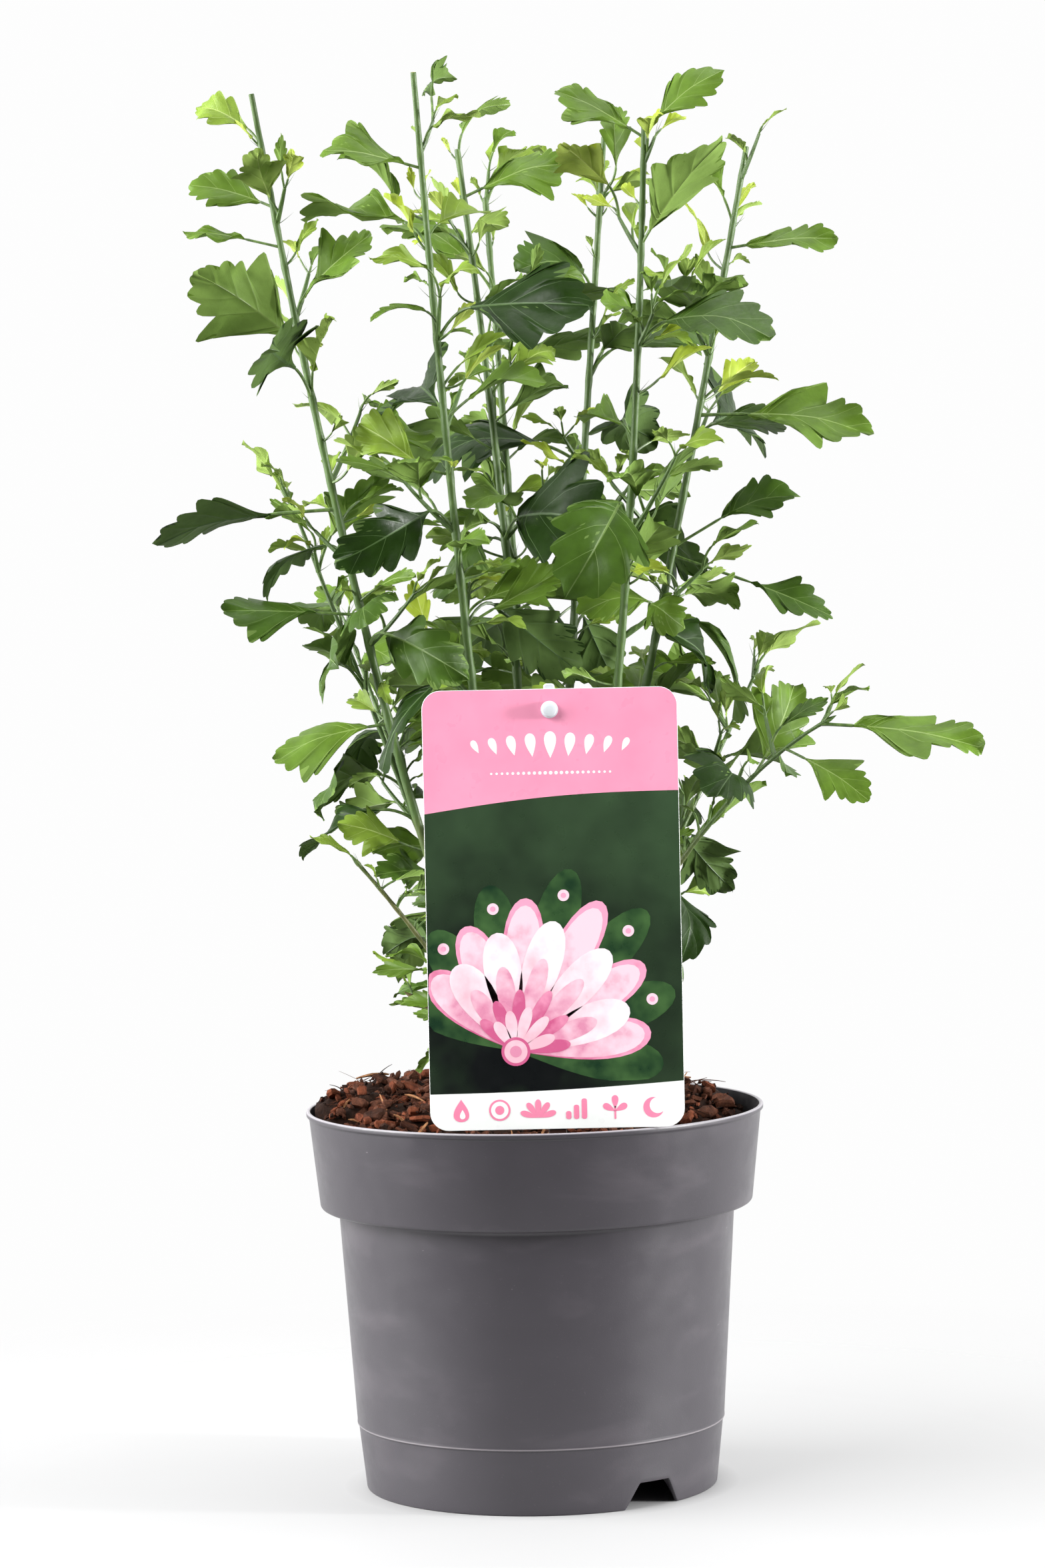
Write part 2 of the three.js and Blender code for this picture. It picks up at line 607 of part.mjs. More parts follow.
// ---------------------------------------------------------------- pot, compost, label
function potForm() {
  const p = POT;
  const w = p.wall;
  const wallTop = p.bodyTopRadius - w;
  const profile = [
    [0, p.floor], [p.baseRadius - w - 5, p.floor], [p.baseRadius - w, 0], [p.baseRadius - 1, 0],
    [p.baseRadius, 1.5], [p.seamRadius - p.seamStep, p.seam - 0.5], [p.seamRadius, p.seam],
    [p.bodyTopRadius, p.bandFoot - 2], [p.bodyTopRadius + 1.5, p.bandFoot],
    [p.bandFootRadius - 2.5, p.bandFoot],
    [p.bandFootRadius, p.bandFoot + 3.5], [p.bandTopRadius, p.height - 4], [p.rimRadius, p.height - 3],
    [p.rimRadius, p.height - 0.8], [p.rimRadius - 0.8, p.height], [p.rimRadius - 2.4, p.height],
    [p.bandTopRadius - w, p.height - 3], [p.bandFootRadius - w, p.bandFoot + 4],
    [p.bodyTopRadius, p.bandFoot + w], [p.bodyTopRadius - w, p.bandFoot - 1], [p.seamRadius - w, p.seam],
    [p.baseRadius - w + 0.6, p.floor + w], [0, p.floor + w],
  ];
  const notches = [];
  for (let i = 0; i < NOTCH.count; i++) {
    const foot = NOTCH.bottomWidth / 2 + 0.6;
    const head = NOTCH.topWidth / 2;
    const corners = [[-foot, -1], [foot, -1], [head, NOTCH.height], [-head, NOTCH.height]];
    const outline = new THREE.Shape(corners.map(([x, y]) => new THREE.Vector2(x, y)));
    const wedge = new THREE.ExtrudeGeometry(outline, { depth: NOTCH.depth, bevelEnabled: false });
    wedge.rotateX(Math.PI / 2).rotateZ(Math.PI / 2).translate(p.baseRadius - NOTCH.inward, 0, 0);
    wedge.rotateZ((NOTCH.bearing + (360 / NOTCH.count) * i) * DEG);
    notches.push(solidOf(wedge));
  }
  return geometryOf(solidOf(turnedForm(profile, p.sides)).subtract(joined(notches)));
}

// Height of the compost: a low mound, fuller at the back left, lumpy away from the stock.
function compostTop(x, y) {
  const r = Math.hypot(x, y);
  const mound = mix(COMPOST.crown, COMPOST.edge, (r / (POT.bandTopRadius - 4)) ** 2);
  const lean = (COMPOST.lean * (y - x) * Math.SQRT1_2) / POT.rimRadius;
  const lump = Math.sin(x * 0.11 + 1.3) * Math.sin(y * 0.13 + 0.4) + 0.6 * Math.sin(x * 0.23 - y * 0.19);
  const away = Math.min(1, Math.max(0, (r - COMPOST.flat) / COMPOST.flat));
  return mound + away * (lean + COMPOST.lump * lump);
}

function compostForm(stick) {
  const p = POT;
  const inner = p.wall + GAP;
  const foot = p.floor + p.wall + GAP;
  const profile = [
    [0, foot], [p.baseRadius - inner, foot], [p.seamRadius - inner - 0.1, p.seam],
    [p.bodyTopRadius - inner, p.bandFoot - 2], [p.bodyTopRadius - inner, p.bandFoot + inner + 0.5],
    [p.bandFootRadius - inner - 0.3, p.bandFoot + 5], [p.bandTopRadius - inner - 1.6, COMPOST.edge],
    ...COMPOST.rings.map((r) => [r, COMPOST.edge]), [0, COMPOST.edge],
  ];
  const heap = turnedForm(profile, COMPOST.sides);
  const position = heap.attributes.position;
  for (let i = 0; i < position.count; i++)
    if (position.getZ(i) > COMPOST.edge - 1)
      position.setZ(i, compostTop(position.getX(i), position.getY(i)));
  return geometryOf(solidOf(heap).subtract(stick));
}

// A plate in the label's plane, from an outline drawn in X and Z, between two Y values.
function uprightPlate(outline, front, back) {
  const shape = { depth: back - front, bevelEnabled: false, curveSegments: 4 };
  const plate = new THREE.ExtrudeGeometry(outline, shape);
  return plate.rotateX(Math.PI / 2).translate(0, back, 0);
}

function roundedOutline(x0, x1, z0, z1, r) {
  const outline = new THREE.Shape();
  outline.absarc(x1 - r, z0 + r, r, -Math.PI / 2, 0, false);
  outline.absarc(x1 - r, z1 - r, r, 0, Math.PI / 2, false);
  outline.absarc(x0 + r, z1 - r, r, Math.PI / 2, Math.PI, false);
  outline.absarc(x0 + r, z0 + r, r, Math.PI, (3 * Math.PI) / 2, false);
  return outline;
}

function labelForm() {
  const side = LABEL.width / 2;
  const top = LABEL.foot + LABEL.height;
  const card = roundedOutline(LABEL.centre - side, LABEL.centre + side, LABEL.foot, top, LABEL.corner);
  const hole = new THREE.Path().absarc(LABEL.centre, top - HOLE.below, HOLE.radius, 0, 2 * Math.PI, true);
  card.holes.push(hole);
  return uprightPlate(card, LABEL.front, LABEL.front + LABEL.thick);
}

// The stick behind the label, with the peg through its hole and the peg's round head. grow widens it.
function stickSolid(grow) {
  const back = LABEL.front + LABEL.thick + GAP;
  const top = LABEL.foot + LABEL.height;
  const half = STICK.width / 2 + grow;
  const [left, right] = [LABEL.centre - half, LABEL.centre + half];
  const outline = roundedOutline(left, right, STICK.foot - grow, top + STICK.above, half * STICK.round);
  const strip = uprightPlate(outline, back - grow, back + STICK.thick + grow);
  const disc = (radius, front, behind) => {
    const round = new THREE.Shape().absarc(LABEL.centre, top - HOLE.below, radius, 0, 2 * Math.PI, false);
    return uprightPlate(round, front, behind);
  };
  const peg = disc(STICK.pegRadius, LABEL.front - GAP - STICK.headThick / 2, back + 1);
  const head = disc(STICK.headRadius, LABEL.front - GAP - STICK.headThick, LABEL.front - GAP);
  return joined([strip, peg, head].map(solidOf));
}

// ---------------------------------------------------------------- stock, canes, foliage
function stockForm(grow) {
  const s = STOCK;
  const top = s.foot + s.height;
  const form = turnedForm(
    [
      [0, s.foot - grow], [s.flare + grow, s.foot - grow], [s.waist + 1.4 + grow, s.foot + 4],
      [s.waist + grow, s.foot + 9], [s.head + grow, top - 9], [s.head - 1 + grow, top - 4],
      [s.head * 0.6, top - 0.8 + grow], [0, top + grow],
    ],
    STOCK.sides,
  );
  const position = form.attributes.position;
  for (let i = 0; i < position.count; i++)
    position.setX(i, position.getX(i) + (s.lean * (position.getZ(i) - s.foot)) / s.height);
  return solidOf(form);
}

// The stretch of a cane between two distances, as a tapering limb.
function caneForm(cane, path, start, end, rings, sides) {
  const stops = [];
  for (let i = 0; i <= rings; i++) stops.push(alongCane(cane, path, mix(start, end, i / rings)));
  return limbForm(stops.map((s) => s.point), stops.map((s) => s.radius), sides);
}

function boughForm(cane, path, cutter) {
  const bough = caneForm(cane, path, 0, path.length * cane.from - GAP, 4, 6);
  return geometryOf(largest(solidOf(bough).subtract(cutter)));
}

// One mass of foliage: the rest of the cane, its twigs and its leaves, joined.
function foliageForm(cane, path, plant) {
  const parts = [solidOf(caneForm(cane, path, path.length * cane.from, path.length, 4, 5))];
  for (const twig of plant.twigs.filter((t) => t.mass === cane.name))
    parts.push(solidOf(limbForm([twig.a, twig.b], [TWIG_RADIUS, TWIG_RADIUS * 0.8], 3)));
  for (const leaf of plant.leaves.filter((l) => l.mass === cane.name)) parts.push(solidOf(leafForm(leaf)));
  return geometryOf(largest(joined(parts).asOriginal().simplify(FOLIAGE_TOLERANCE)));
}

// ---------------------------------------------------------------- materials and assembly
const paint = (color, roughness) => new THREE.MeshStandardMaterial({ color, roughness, metalness: 0 });
const MATERIAL = {
  pot: paint(0x5d5a5e, 0.45),
  compost: paint(0x4a2a1c, 0.95),
  stock: paint(0x6b5a44, 0.85),
  cane: paint(0x5c7a45, 0.6),
  foliage: paint(0x3f7a2c, 0.5),
  label: paint(0xe9a6c0, 0.35),
  stick: paint(0xf2f2f0, 0.4),
};

const shrub = new THREE.Group();
function place(name, geometry, material) {
  const mesh = new THREE.Mesh(geometry, material);
  mesh.name = name;
  shrub.add(mesh);
}

const plant = growPlant();
const stockCutter = stockForm(GAP);
place("pot", potForm(), MATERIAL.pot);
place("compost", compostForm(stickSolid(GAP)), MATERIAL.compost);
place("label_card", labelForm(), MATERIAL.label);
place("label_stick", geometryOf(stickSolid(0)), MATERIAL.stick);
place("trunk", geometryOf(stockForm(0)), MATERIAL.stock);
for (const cane of CANES) {
  const path = canePath(cane);
  place("cane_" + cane.name, boughForm(cane, path, stockCutter), MATERIAL.cane);
  place("foliage_" + cane.name, foliageForm(cane, path, plant), MATERIAL.foliage);
}

const middle = new THREE.Box3().setFromObject(shrub).getCenter(new THREE.Vector3());
shrub.position.set(-middle.x, -middle.y, 0);

export default shrub;
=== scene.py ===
"""Looks of a potted hibiscus shrub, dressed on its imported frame.

The plant is grown again by the seeded rule that made its solids, so every leaf lies where its solid
lies, and is then carried on to petioles, veins, toothed blades and axil sprouts. The rule works in
millimetres round the pot's axis; MeshBuffer turns what it collects into metres in the frame's place.
"""

import logging
import math
from dataclasses import dataclass, replace
from enum import Enum
from typing import Callable, Iterable, Sequence

import bpy
import numpy as np
from mathutils import Matrix, Vector
from mathutils.geometry import tessellate_polygon


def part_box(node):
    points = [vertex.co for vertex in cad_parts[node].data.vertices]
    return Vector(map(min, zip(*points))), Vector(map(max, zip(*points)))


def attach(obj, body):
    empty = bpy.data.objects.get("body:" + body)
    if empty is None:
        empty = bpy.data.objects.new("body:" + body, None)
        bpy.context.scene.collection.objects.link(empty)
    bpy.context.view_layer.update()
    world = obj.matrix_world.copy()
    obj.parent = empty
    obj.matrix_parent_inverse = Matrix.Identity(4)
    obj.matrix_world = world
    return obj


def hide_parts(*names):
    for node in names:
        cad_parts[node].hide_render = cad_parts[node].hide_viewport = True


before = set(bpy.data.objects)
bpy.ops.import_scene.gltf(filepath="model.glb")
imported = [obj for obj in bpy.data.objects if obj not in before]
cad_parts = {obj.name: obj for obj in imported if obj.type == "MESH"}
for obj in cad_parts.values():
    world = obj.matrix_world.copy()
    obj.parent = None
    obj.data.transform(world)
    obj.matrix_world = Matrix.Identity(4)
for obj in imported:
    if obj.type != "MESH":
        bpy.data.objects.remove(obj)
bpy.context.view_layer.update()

log = logging.getLogger("hibiscus")

MM = 0.001
POT_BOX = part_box("pot")
AXIS = np.array([(POT_BOX[0][0] + POT_BOX[1][0]) / 2, (POT_BOX[0][1] + POT_BOX[1][1]) / 2, 0.0])
BODY = "root"

Array = np.ndarray
Socket = bpy.types.NodeSocket
Face = tuple[int, ...]
Colour = tuple[float, float, float]
Inputs = dict[str | int, object]
Bytes = tuple[int, int, int]


# ---------------------------------------------------------------- chance and vectors
MASK = 0xFFFFFFFF


class Dice:
    """Seeded numbers from 0 to 1, the same as the solids' source draws."""

    STEP = 0x6D2B79F5

    def __init__(self, seed: int) -> None:
        """Start from a whole number."""
        self.state = seed & MASK

    def roll(self) -> float:
        """The next number.

        Returns:
            A number of at least 0 and under 1.
        """
        self.state = (self.state + self.STEP) & MASK
        t = ((self.state ^ (self.state >> 15)) * (1 | self.state)) & MASK
        t = ((t + (((t ^ (t >> 7)) * (61 | t)) & MASK)) & MASK) ^ t
        return ((t ^ (t >> 14)) & MASK) / (MASK + 1)

    def choice(self, options: Sequence) -> object:
        """One of several options."""
        return options[int(self.roll() * len(options))]


@dataclass(frozen=True)
class Span:
    """A range, from its first value to its last."""

    least: float
    most: float

    def at(self, share: float) -> float:
        """The value at a share of the range."""
        return self.least + (self.most - self.least) * share

    def pick(self, dice: Dice) -> float:
        """A value by chance."""
        return self.at(dice.roll())

    def either_way(self, dice: Dice) -> float:
        """A value by chance, with either sign."""
        sign = -1.0 if dice.roll() < 0.5 else 1.0
        return sign * self.pick(dice)


def vector(*values: float) -> Array:
    """A vector of floats."""
    return np.array(values, dtype=float)


def unit(v: Array) -> Array:
    """A vector of length one in the same direction, or one for each row."""
    return v / np.linalg.norm(v, axis=-1, keepdims=True)


def heading(bearing: float, elevation: float) -> Array:
    """Unit vector at a bearing, turned from +X towards +Y, and an elevation, both in degrees."""
    b, e = math.radians(bearing), math.radians(elevation)
    return vector(math.cos(b) * math.cos(e), math.sin(b) * math.cos(e), math.sin(e))


def turned(v: Array, about: Array, degrees: float) -> Array:
    """A vector turned about a unit vector."""
    c, s = math.cos(math.radians(degrees)), math.sin(math.radians(degrees))
    return v * c + np.cross(about, v) * s + about * (float(about @ v) * (1 - c))


def smooth_step(x: Array, low: float, high: float) -> Array:
    """0 below low, 1 above high, and a smooth rise between."""
    t = np.clip((x - low) / (high - low), 0, 1)
    return t * t * (3 - 2 * t)


def run_along(line: Array) -> Array:
    """The distance along a line at each of its points."""
    return np.concatenate([[0], np.cumsum(np.linalg.norm(np.diff(line, axis=0), axis=1))])


# ---------------------------------------------------------------- driving sizes, as in the solids
@dataclass(frozen=True)
class PotSize:
    """A round nursery pot, in millimetres."""

    height: float = 191
    rim_radius: float = 115
    band_top_radius: float = 113.6
    band_foot_radius: float = 109.2
    band_foot: float = 142
    body_top_radius: float = 99.5
    seam_radius: float = 92.6
    seam: float = 33
    seam_step: float = 0.7
    base_radius: float = 88.4
    wall: float = 1.8
    floor: float = 13


@dataclass(frozen=True)
class NotchSize:
    """The drainage notches in the pot's foot."""

    count: int = 2
    bearing: float = -52
    bottom_width: float = 33
    top_width: float = 18
    height: float = 13


@dataclass(frozen=True)
class CompostSize:
    """The pot's filling."""

    edge: float = 180
    crown: float = 191
    lump: float = 3
    lean: float = 9
    flat: float = 18


@dataclass(frozen=True)
class LabelSize:
    """The printed card."""

    width: float = 123
    height: float = 213
    thick: float = 0.8
    corner: float = 9
    centre: float = 11
    foot: float = 191.5
    front: float = -100
    hole_radius: float = 3.3
    hole_below: float = 10

    @property
    def left(self) -> float:
        """X of the left edge."""
        return self.centre - self.width / 2

    @property
    def right(self) -> float:
        """X of the right edge."""
        return self.centre + self.width / 2

    @property
    def top(self) -> float:
        """Z of the top edge."""
        return self.foot + self.height


@dataclass(frozen=True)
class StickSize:
    """The stick that carries the card, and its peg."""

    width: float = 9
    thick: float = 2.4
    foot: float = 152
    gap: float = 0.3


@dataclass(frozen=True)
class StockSize:
    """The woody stock that the canes spring from."""

    foot: float = 191.3
    height: float = 27
    flare: float = 12.5
    waist: float = 8.6
    head: float = 10.4
    lean: float = 1.5


@dataclass(frozen=True)
class HabitSize:
    """How a kind of cane grows: its foot's ring, radii, leafy share, bare stub and leaf sizes."""

    ring: tuple[float, float]
    radii: tuple[float, float]
    start: float
    stub: float
    spacing: float
    leaf: float
    side: float


UPRIGHT = HabitSize(ring=(10, 211), radii=(3.5, 1.9), start=0.36, stub=26, spacing=44, leaf=66, side=1)
SHOOT = HabitSize(ring=(10.5, 199), radii=(2.3, 1.2), start=0.34, stub=0, spacing=32, leaf=56, side=0.5)


@dataclass(frozen=True)
class Cane:
    """One cane: the bearing of its foot, the knee that draws it, its tip, and its leaves' seed."""

    name: str
    foot: float
    knee: tuple[float, float, float]
    tip: tuple[float, float, float]
    turn: float
    seed: int
    habit: HabitSize = UPRIGHT


CANES = (
    Cane("left", 205, (-66, -8, 310), (-129, -30, 697), 150, 45),
    Cane("front_left", 257, (-24, -18, 310), (-48, -90, 701), 20, 59, replace(UPRIGHT, stub=38)),
    Cane("middle", 154, (12, 26, 330), (-29, 30, 672), 60, 57, replace(UPRIGHT, stub=5)),
    Cane("back", 106, (6, 40, 320), (-16, 110, 652), 40, 54, replace(UPRIGHT, stub=3)),
    Cane("back_right", 60, (15, 22, 310), (46, 90, 681), 100, 13, replace(UPRIGHT, stub=42)),
    Cane("front_right", 309, (50, -14, 310), (63, -60, 676), 30, 81, replace(UPRIGHT, stub=18)),
    Cane("right", 12, (46, 8, 310), (117, 40, 671), 330, 19, replace(UPRIGHT, stub=16)),
    Cane("low_left", 180, (-46, 18, 306), (-116, 32, 494), 170, 84, SHOOT),
    Cane("low_right", 336, (78, -24, 345), (147, -40, 383), 0, 76, replace(SHOOT, start=0.42)),
    Cane("low_front", 231, (-40, -30, 264), (-84, -34, 316), 180, 48, replace(SHOOT, leaf=46)),
    Cane("low_side", 284, (-24, -34, 226), (-58, -40, 250), 190, 7, replace(SHOOT, leaf=42)),
    Cane("low_back_right", 36, (56, 34, 280), (118, 78, 402), 20, 18, SHOOT),
    Cane("low_back_left", 130, (-38, 48, 276), (-92, 98, 430), 130, 10, SHOOT),
    Cane("low_back", 83, (6, 56, 262), (24, 124, 352), 90, 14, SHOOT),
)

# The leaves of the crown's outline: cane, distance below its tip, bearing, pitch, stalk, length, roll.
LEADERS = (
    ("left", 56, 168, 24, 4, 40, -56),
    ("left", 76, 178, 14, 16, 32, -30),
    ("left", 126, 212, 38, 5, 66, 66),
    ("left", 208, 180, -3, 30, 62, 20),
    ("left", 262, 184, 4, 20, 48, -34),
    ("left", 318, 178, -8, 8, 52, -40),
    ("front_left", 46, 190, 16, 6, 42, -38),
    ("middle", 24, 352, 24, 8, 46, 40),
    ("front_right", 4, 350, 46, 6, 42, 46),
    ("front_right", 6, 176, 34, 6, 42, -40),
    ("front_right", 58, 322, 52, 6, 62, -16),
    ("right", 30, 20, 50, 6, 46, 55),
    ("right", 52, 352, 8, 6, 48, 30),
    ("right", 138, 352, 0, 22, 66, 34),
    ("right", 206, 352, 30, 26, 42, 44),
    ("right", 210, 350, -20, 40, 46, 36),
    ("low_right", 2, 352, -4, 14, 66, 22),
    ("low_right", 44, 50, 44, 8, 52, 50),
    ("low_right", 24, 330, -24, 10, 40, 30),
)


@dataclass
class BladeSize:
    """A blade's length in millimetres, its width as a factor, its curl in degrees, and its age."""

    length: float
    width: float
    bend: float
    fold: float
    twist: float
    age: float


@dataclass
class Wish(BladeSize):
    """A leaf that the rule would like to place."""

    start: Array
    bearing: float
    rise: float
    stalk: float
    yaw: float
    pitch: float
    roll: float


@dataclass(frozen=True)
class LeafHabit:
    """How leaves sit, by chance: degrees, and shares of the blade's length for size and stalk."""

    swing: Span
    size: Span
    rise: Span
    stalk: Span
    yaw: Span
    pitch: Span
    roll: Span
    width: Span
    bend: Span
    fold: Span
    twist: Span

    def wish(
        self, dice: Dice, start: Array, bearing: float, rise: float, pitch: float, bend: float,
        length: float, root: float, age: float,
    ) -> Wish:
        """A leaf of this habit, its chances drawn in the solids' order.

        Args:
            dice: the node's numbers.
            start: where its stalk springs from.
            bearing: its stalk's bearing.
            rise: its stalk's elevation before chance.
            pitch: its blade's elevation before chance.
            bend: its curl before chance.
            length: its blade's length.
            root: how much of its stalk lies within the limb.
            age: 0 for a fresh leaf, 1 for a ripe one.

        Returns:
            The leaf wanted.
        """
        return Wish(
            start=start, bearing=bearing, rise=rise + self.rise.pick(dice),
            stalk=length * self.stalk.pick(dice) + root, yaw=self.yaw.pick(dice),
            pitch=pitch + self.pitch.pick(dice), roll=self.roll.either_way(dice), length=length,
            width=self.width.pick(dice), bend=bend + self.bend.pick(dice),
            fold=self.fold.pick(dice), twist=self.twist.pick(dice), age=age,
        )


ON_CANE = LeafHabit(
    swing=Span(-20, 20), size=Span(0.86, 1.14), rise=Span(-10, 10), stalk=Span(0.22, 0.36),
    yaw=Span(-14, 14), pitch=Span(-16, 16), roll=Span(10, 58), width=Span(0.9, 1.18),
    bend=Span(0, 24), fold=Span(6, 22), twist=Span(-28, 28),
)
ON_TWIG = LeafHabit(
    swing=Span(45, 95), size=Span(0.8, 1.2), rise=Span(8, -12), stalk=Span(0.16, 0.26),
    yaw=Span(-12, 12), pitch=Span(-5, -40), roll=Span(10, 60), width=Span(0.85, 1.15),
    bend=Span(15, 55), fold=Span(8, 28), twist=Span(-30, 30),
)
ON_SPROUT = LeafHabit(
    swing=Span(-85, 85), size=Span(0.5, 1.3), rise=Span(-24, 22), stalk=Span(0.22, 0.4),
    yaw=Span(-10, 10), pitch=Span(-34, 24), roll=Span(0, 75), width=Span(0.8, 1.1),
    bend=Span(8, 46), fold=Span(16, 42), twist=Span(-24, 24),
)

# Down a cane, from its highest node to its lowest.
RISE_DOWN = Span(58, 22)
PITCH_DOWN = Span(46, -34)
BEND_DOWN = Span(18, 48)
GROWING_DOWN = Span(0.6, 1.6)
FULL_DOWN = Span(1.16, 0.82)
AGE_DOWN = Span(0.35, 1)
AGE_PACE = 2.2
NODE_SHIFT = Span(-4, 4)
BARE_END = 6
TURN = 144
SEED_STEP = 1000
LEADER_ROOM = 15
LEADER_FORM = {"width": 1.05, "bend": 12, "fold": 9, "twist": 8}
LEADER_AGE, LEADER_RIPENS, LEADER_RIPEST = 0.44, 420, 0.78

# Twigs in the leaf axils.
TWIG_YOUNG = 0.2
TWIG_REACH = {True: Span(10, 22), False: Span(14, 54)}
TWIG_LEAF = {True: 0.52, False: 0.68}
TWIG_AGE = {True: 0.3, False: 0.75}
TWIG_LEAST = 4
TWIG_SWING = Span(-50, 50)
TWIG_RISE_DOWN = Span(64, 34)
TWIG_LEAF_EVERY = 30
TWIG_SHARES = Span(0.35, 1)
TWIG_SIZES = Span(1.05, 0.6)
TWIG_AGES = Span(1, 0.45)
TWIG_HOLD = 0.98

STALK_RADIUS = 0.95
TWIG_RADIUS = 1.25
CROWN_TOP = 711
LEAF_CLEAR = 1.6
LIMB_CLEAR = 0.8
BLADE_REACH = 0.62
LIMB_REACH = 2
ROOM_BESIDE, ROOM_BEHIND, ROOM_OVER = 5, 7, 8
RETRIES = ((0, 0), (26, 8), (-26, 8), (48, -12), (-48, -12), (75, 16), (-75, 16))

# Sprouts that only this script grows: small leaves in the axils, and at the ends of twigs.
SPROUT_SEED = 500
SPROUT_LEAF = Span(17, 33)
SPROUT_COUNT = Span(1.2, 3.9)
SPROUT_AGE = {True: 0.34, False: 0.08}
SPROUT_RIPER = 0.8
LOW_SPROUTS = 0.65


# ---------------------------------------------------------------- cane paths
class CanePath:
    """A cane's centre line, a quadratic curve through the pull of its knee."""

    STEPS = 24

    def __init__(self, cane: Cane) -> None:
        """Work out the line's points and the distance along it at each.

        Args:
            cane: the cane that it draws.
        """
        radius, height = cane.habit.ring
        self.start = vector(0, 0, height) + heading(cane.foot, 0) * radius
        self.cane = cane
        self.points = self.curve(np.linspace(0, 1, self.STEPS + 1))
        self.reach = run_along(self.points)
        self.length = float(self.reach[-1])

    def curve(self, t: Array) -> Array:
        """Points of the curve at its parameters t."""
        return quadratic(self.start, vector(*self.cane.knee), vector(*self.cane.tip), t[:, None])

    def at(self, distance: float) -> Array:
        """The point at a distance along the cane.

        Args:
            distance: millimetres from its foot.

        Returns:
            The point.
        """
        i = int(np.clip(np.searchsorted(self.reach, distance), 1, self.STEPS))
        share = (distance - self.reach[i - 1]) / (self.reach[i] - self.reach[i - 1])
        return self.points[i - 1] + (self.points[i] - self.points[i - 1]) * share

    def radius(self, distance: float | Array) -> float | Array:
        """The cane's radius at a distance along it."""
        thick, thin = self.cane.habit.radii
        return thick + (thin - thick) * distance / self.length


# ---------------------------------------------------------------- leaves
@dataclass
class Leaf(BladeSize):
    """One placed leaf: its cane, its stalk's start, and its blade's base and axes."""

    mass: str
    start: Array
    base: Array
    out: Array
    side: Array
    up: Array

    def spread(self, u: Array, v: Array) -> tuple[Array, Array]:
        """Points of the blade's middle surface.

        Args:
            u: distances along the blade.
            v: distances across it, to the right where positive.

        Returns:
            The points and the surface's lift direction at each.
        """
        share = u / self.length
        angle = math.radians(self.bend) * share
        arc = self.length / math.radians(self.bend)
        run, fall = np.sin(angle) * arc, (1 - np.cos(angle)) * arc
        cos, sin = np.cos(angle)[:, None], np.sin(angle)[:, None]
        out = self.out * cos - self.up * sin
        up = self.up * cos + self.out * sin
        turn = np.radians(self.twist * share)[:, None]
        side = self.side * np.cos(turn) + np.cross(out, self.side) * np.sin(turn)
        lift = up * np.cos(turn) + np.cross(out, up) * np.sin(turn)
        centre = self.base + self.out * run[:, None] - self.up * fall[:, None]
        fold = math.radians(self.fold)
        across = side * (v * math.cos(fold))[:, None]
        return centre + across + lift * (np.abs(v) * math.sin(fold))[:, None], lift


class CoarseBlade:
    """The flat pattern of a solid leaf's blade, which the growth rule tests for clashes."""

    def __init__(self, half: Sequence[tuple[float, float]], fans: Sequence[Face]) -> None:
        """Mirror the right half into a whole blade.

        Args:
            half: the right half's outline, as shares of the length along and across.
            fans: the right half's triangles, over half and then a corner down the midrib.
        """
        corners = [*half, (COARSE_RIB, 0.0)]
        across = list(range(len(corners)))
        for i, (u, v) in enumerate(list(corners)):
            if v:
                across[i] = len(corners)
                corners.append((u, -v))
        faces = [*fans, *[(across[c], across[b], across[a]) for a, b, c in fans]]
        edges = {tuple(sorted((f[i], f[(i + 1) % 3]))) for f in faces for i in range(3)}
        self.corners = np.array(corners)
        self.faces = np.array(faces)
        self.edges = np.array(sorted(edges))


COARSE_RIB = 0.45
BROAD_HALF = ((0, 0), (0.17, 0.2), (0.47, 0.36), (0.74, 0.19), (1, 0))
YOUNG_HALF = ((0, 0), (0.24, 0.22), (0.64, 0.24), (1, 0))
BROAD_BLADE = CoarseBlade(BROAD_HALF, ((0, 1, 5), (1, 2, 5), (2, 3, 5), (3, 4, 5)))
YOUNG_BLADE = CoarseBlade(YOUNG_HALF, ((0, 1, 4), (1, 2, 4), (2, 3, 4)))
YOUNG_BELOW = 42


class Blade:
    """A leaf's coarse blade in place, for the clash tests."""

    def __init__(self, leaf: Leaf) -> None:
        """Lay the coarse pattern over the leaf's surface.

        Args:
            leaf: the placed leaf.
        """
        shape = YOUNG_BLADE if leaf.length < YOUNG_BELOW else BROAD_BLADE
        along, across = shape.corners[:, 0] * leaf.length, shape.corners[:, 1] * leaf.length * leaf.width
        self.points, _ = leaf.spread(along, across)
        self.faces = self.points[shape.faces]
        self.edges = self.points[shape.edges]
        self.centre = leaf.spread(vector(leaf.length / 2), vector(0))[0][0]
        self.reach = leaf.length * BLADE_REACH


@dataclass
class Limb:
    """A straight stretch of cane, twig or stalk."""

    mass: str
    a: Array
    b: Array
    radius: float

    @property
    def centre(self) -> Array:
        """Its middle."""
        return (self.a + self.b) / 2

    @property
    def reach(self) -> float:
        """Radius of the sphere that holds it."""
        return float(np.linalg.norm(self.b - self.a)) / 2 + self.radius + LIMB_REACH


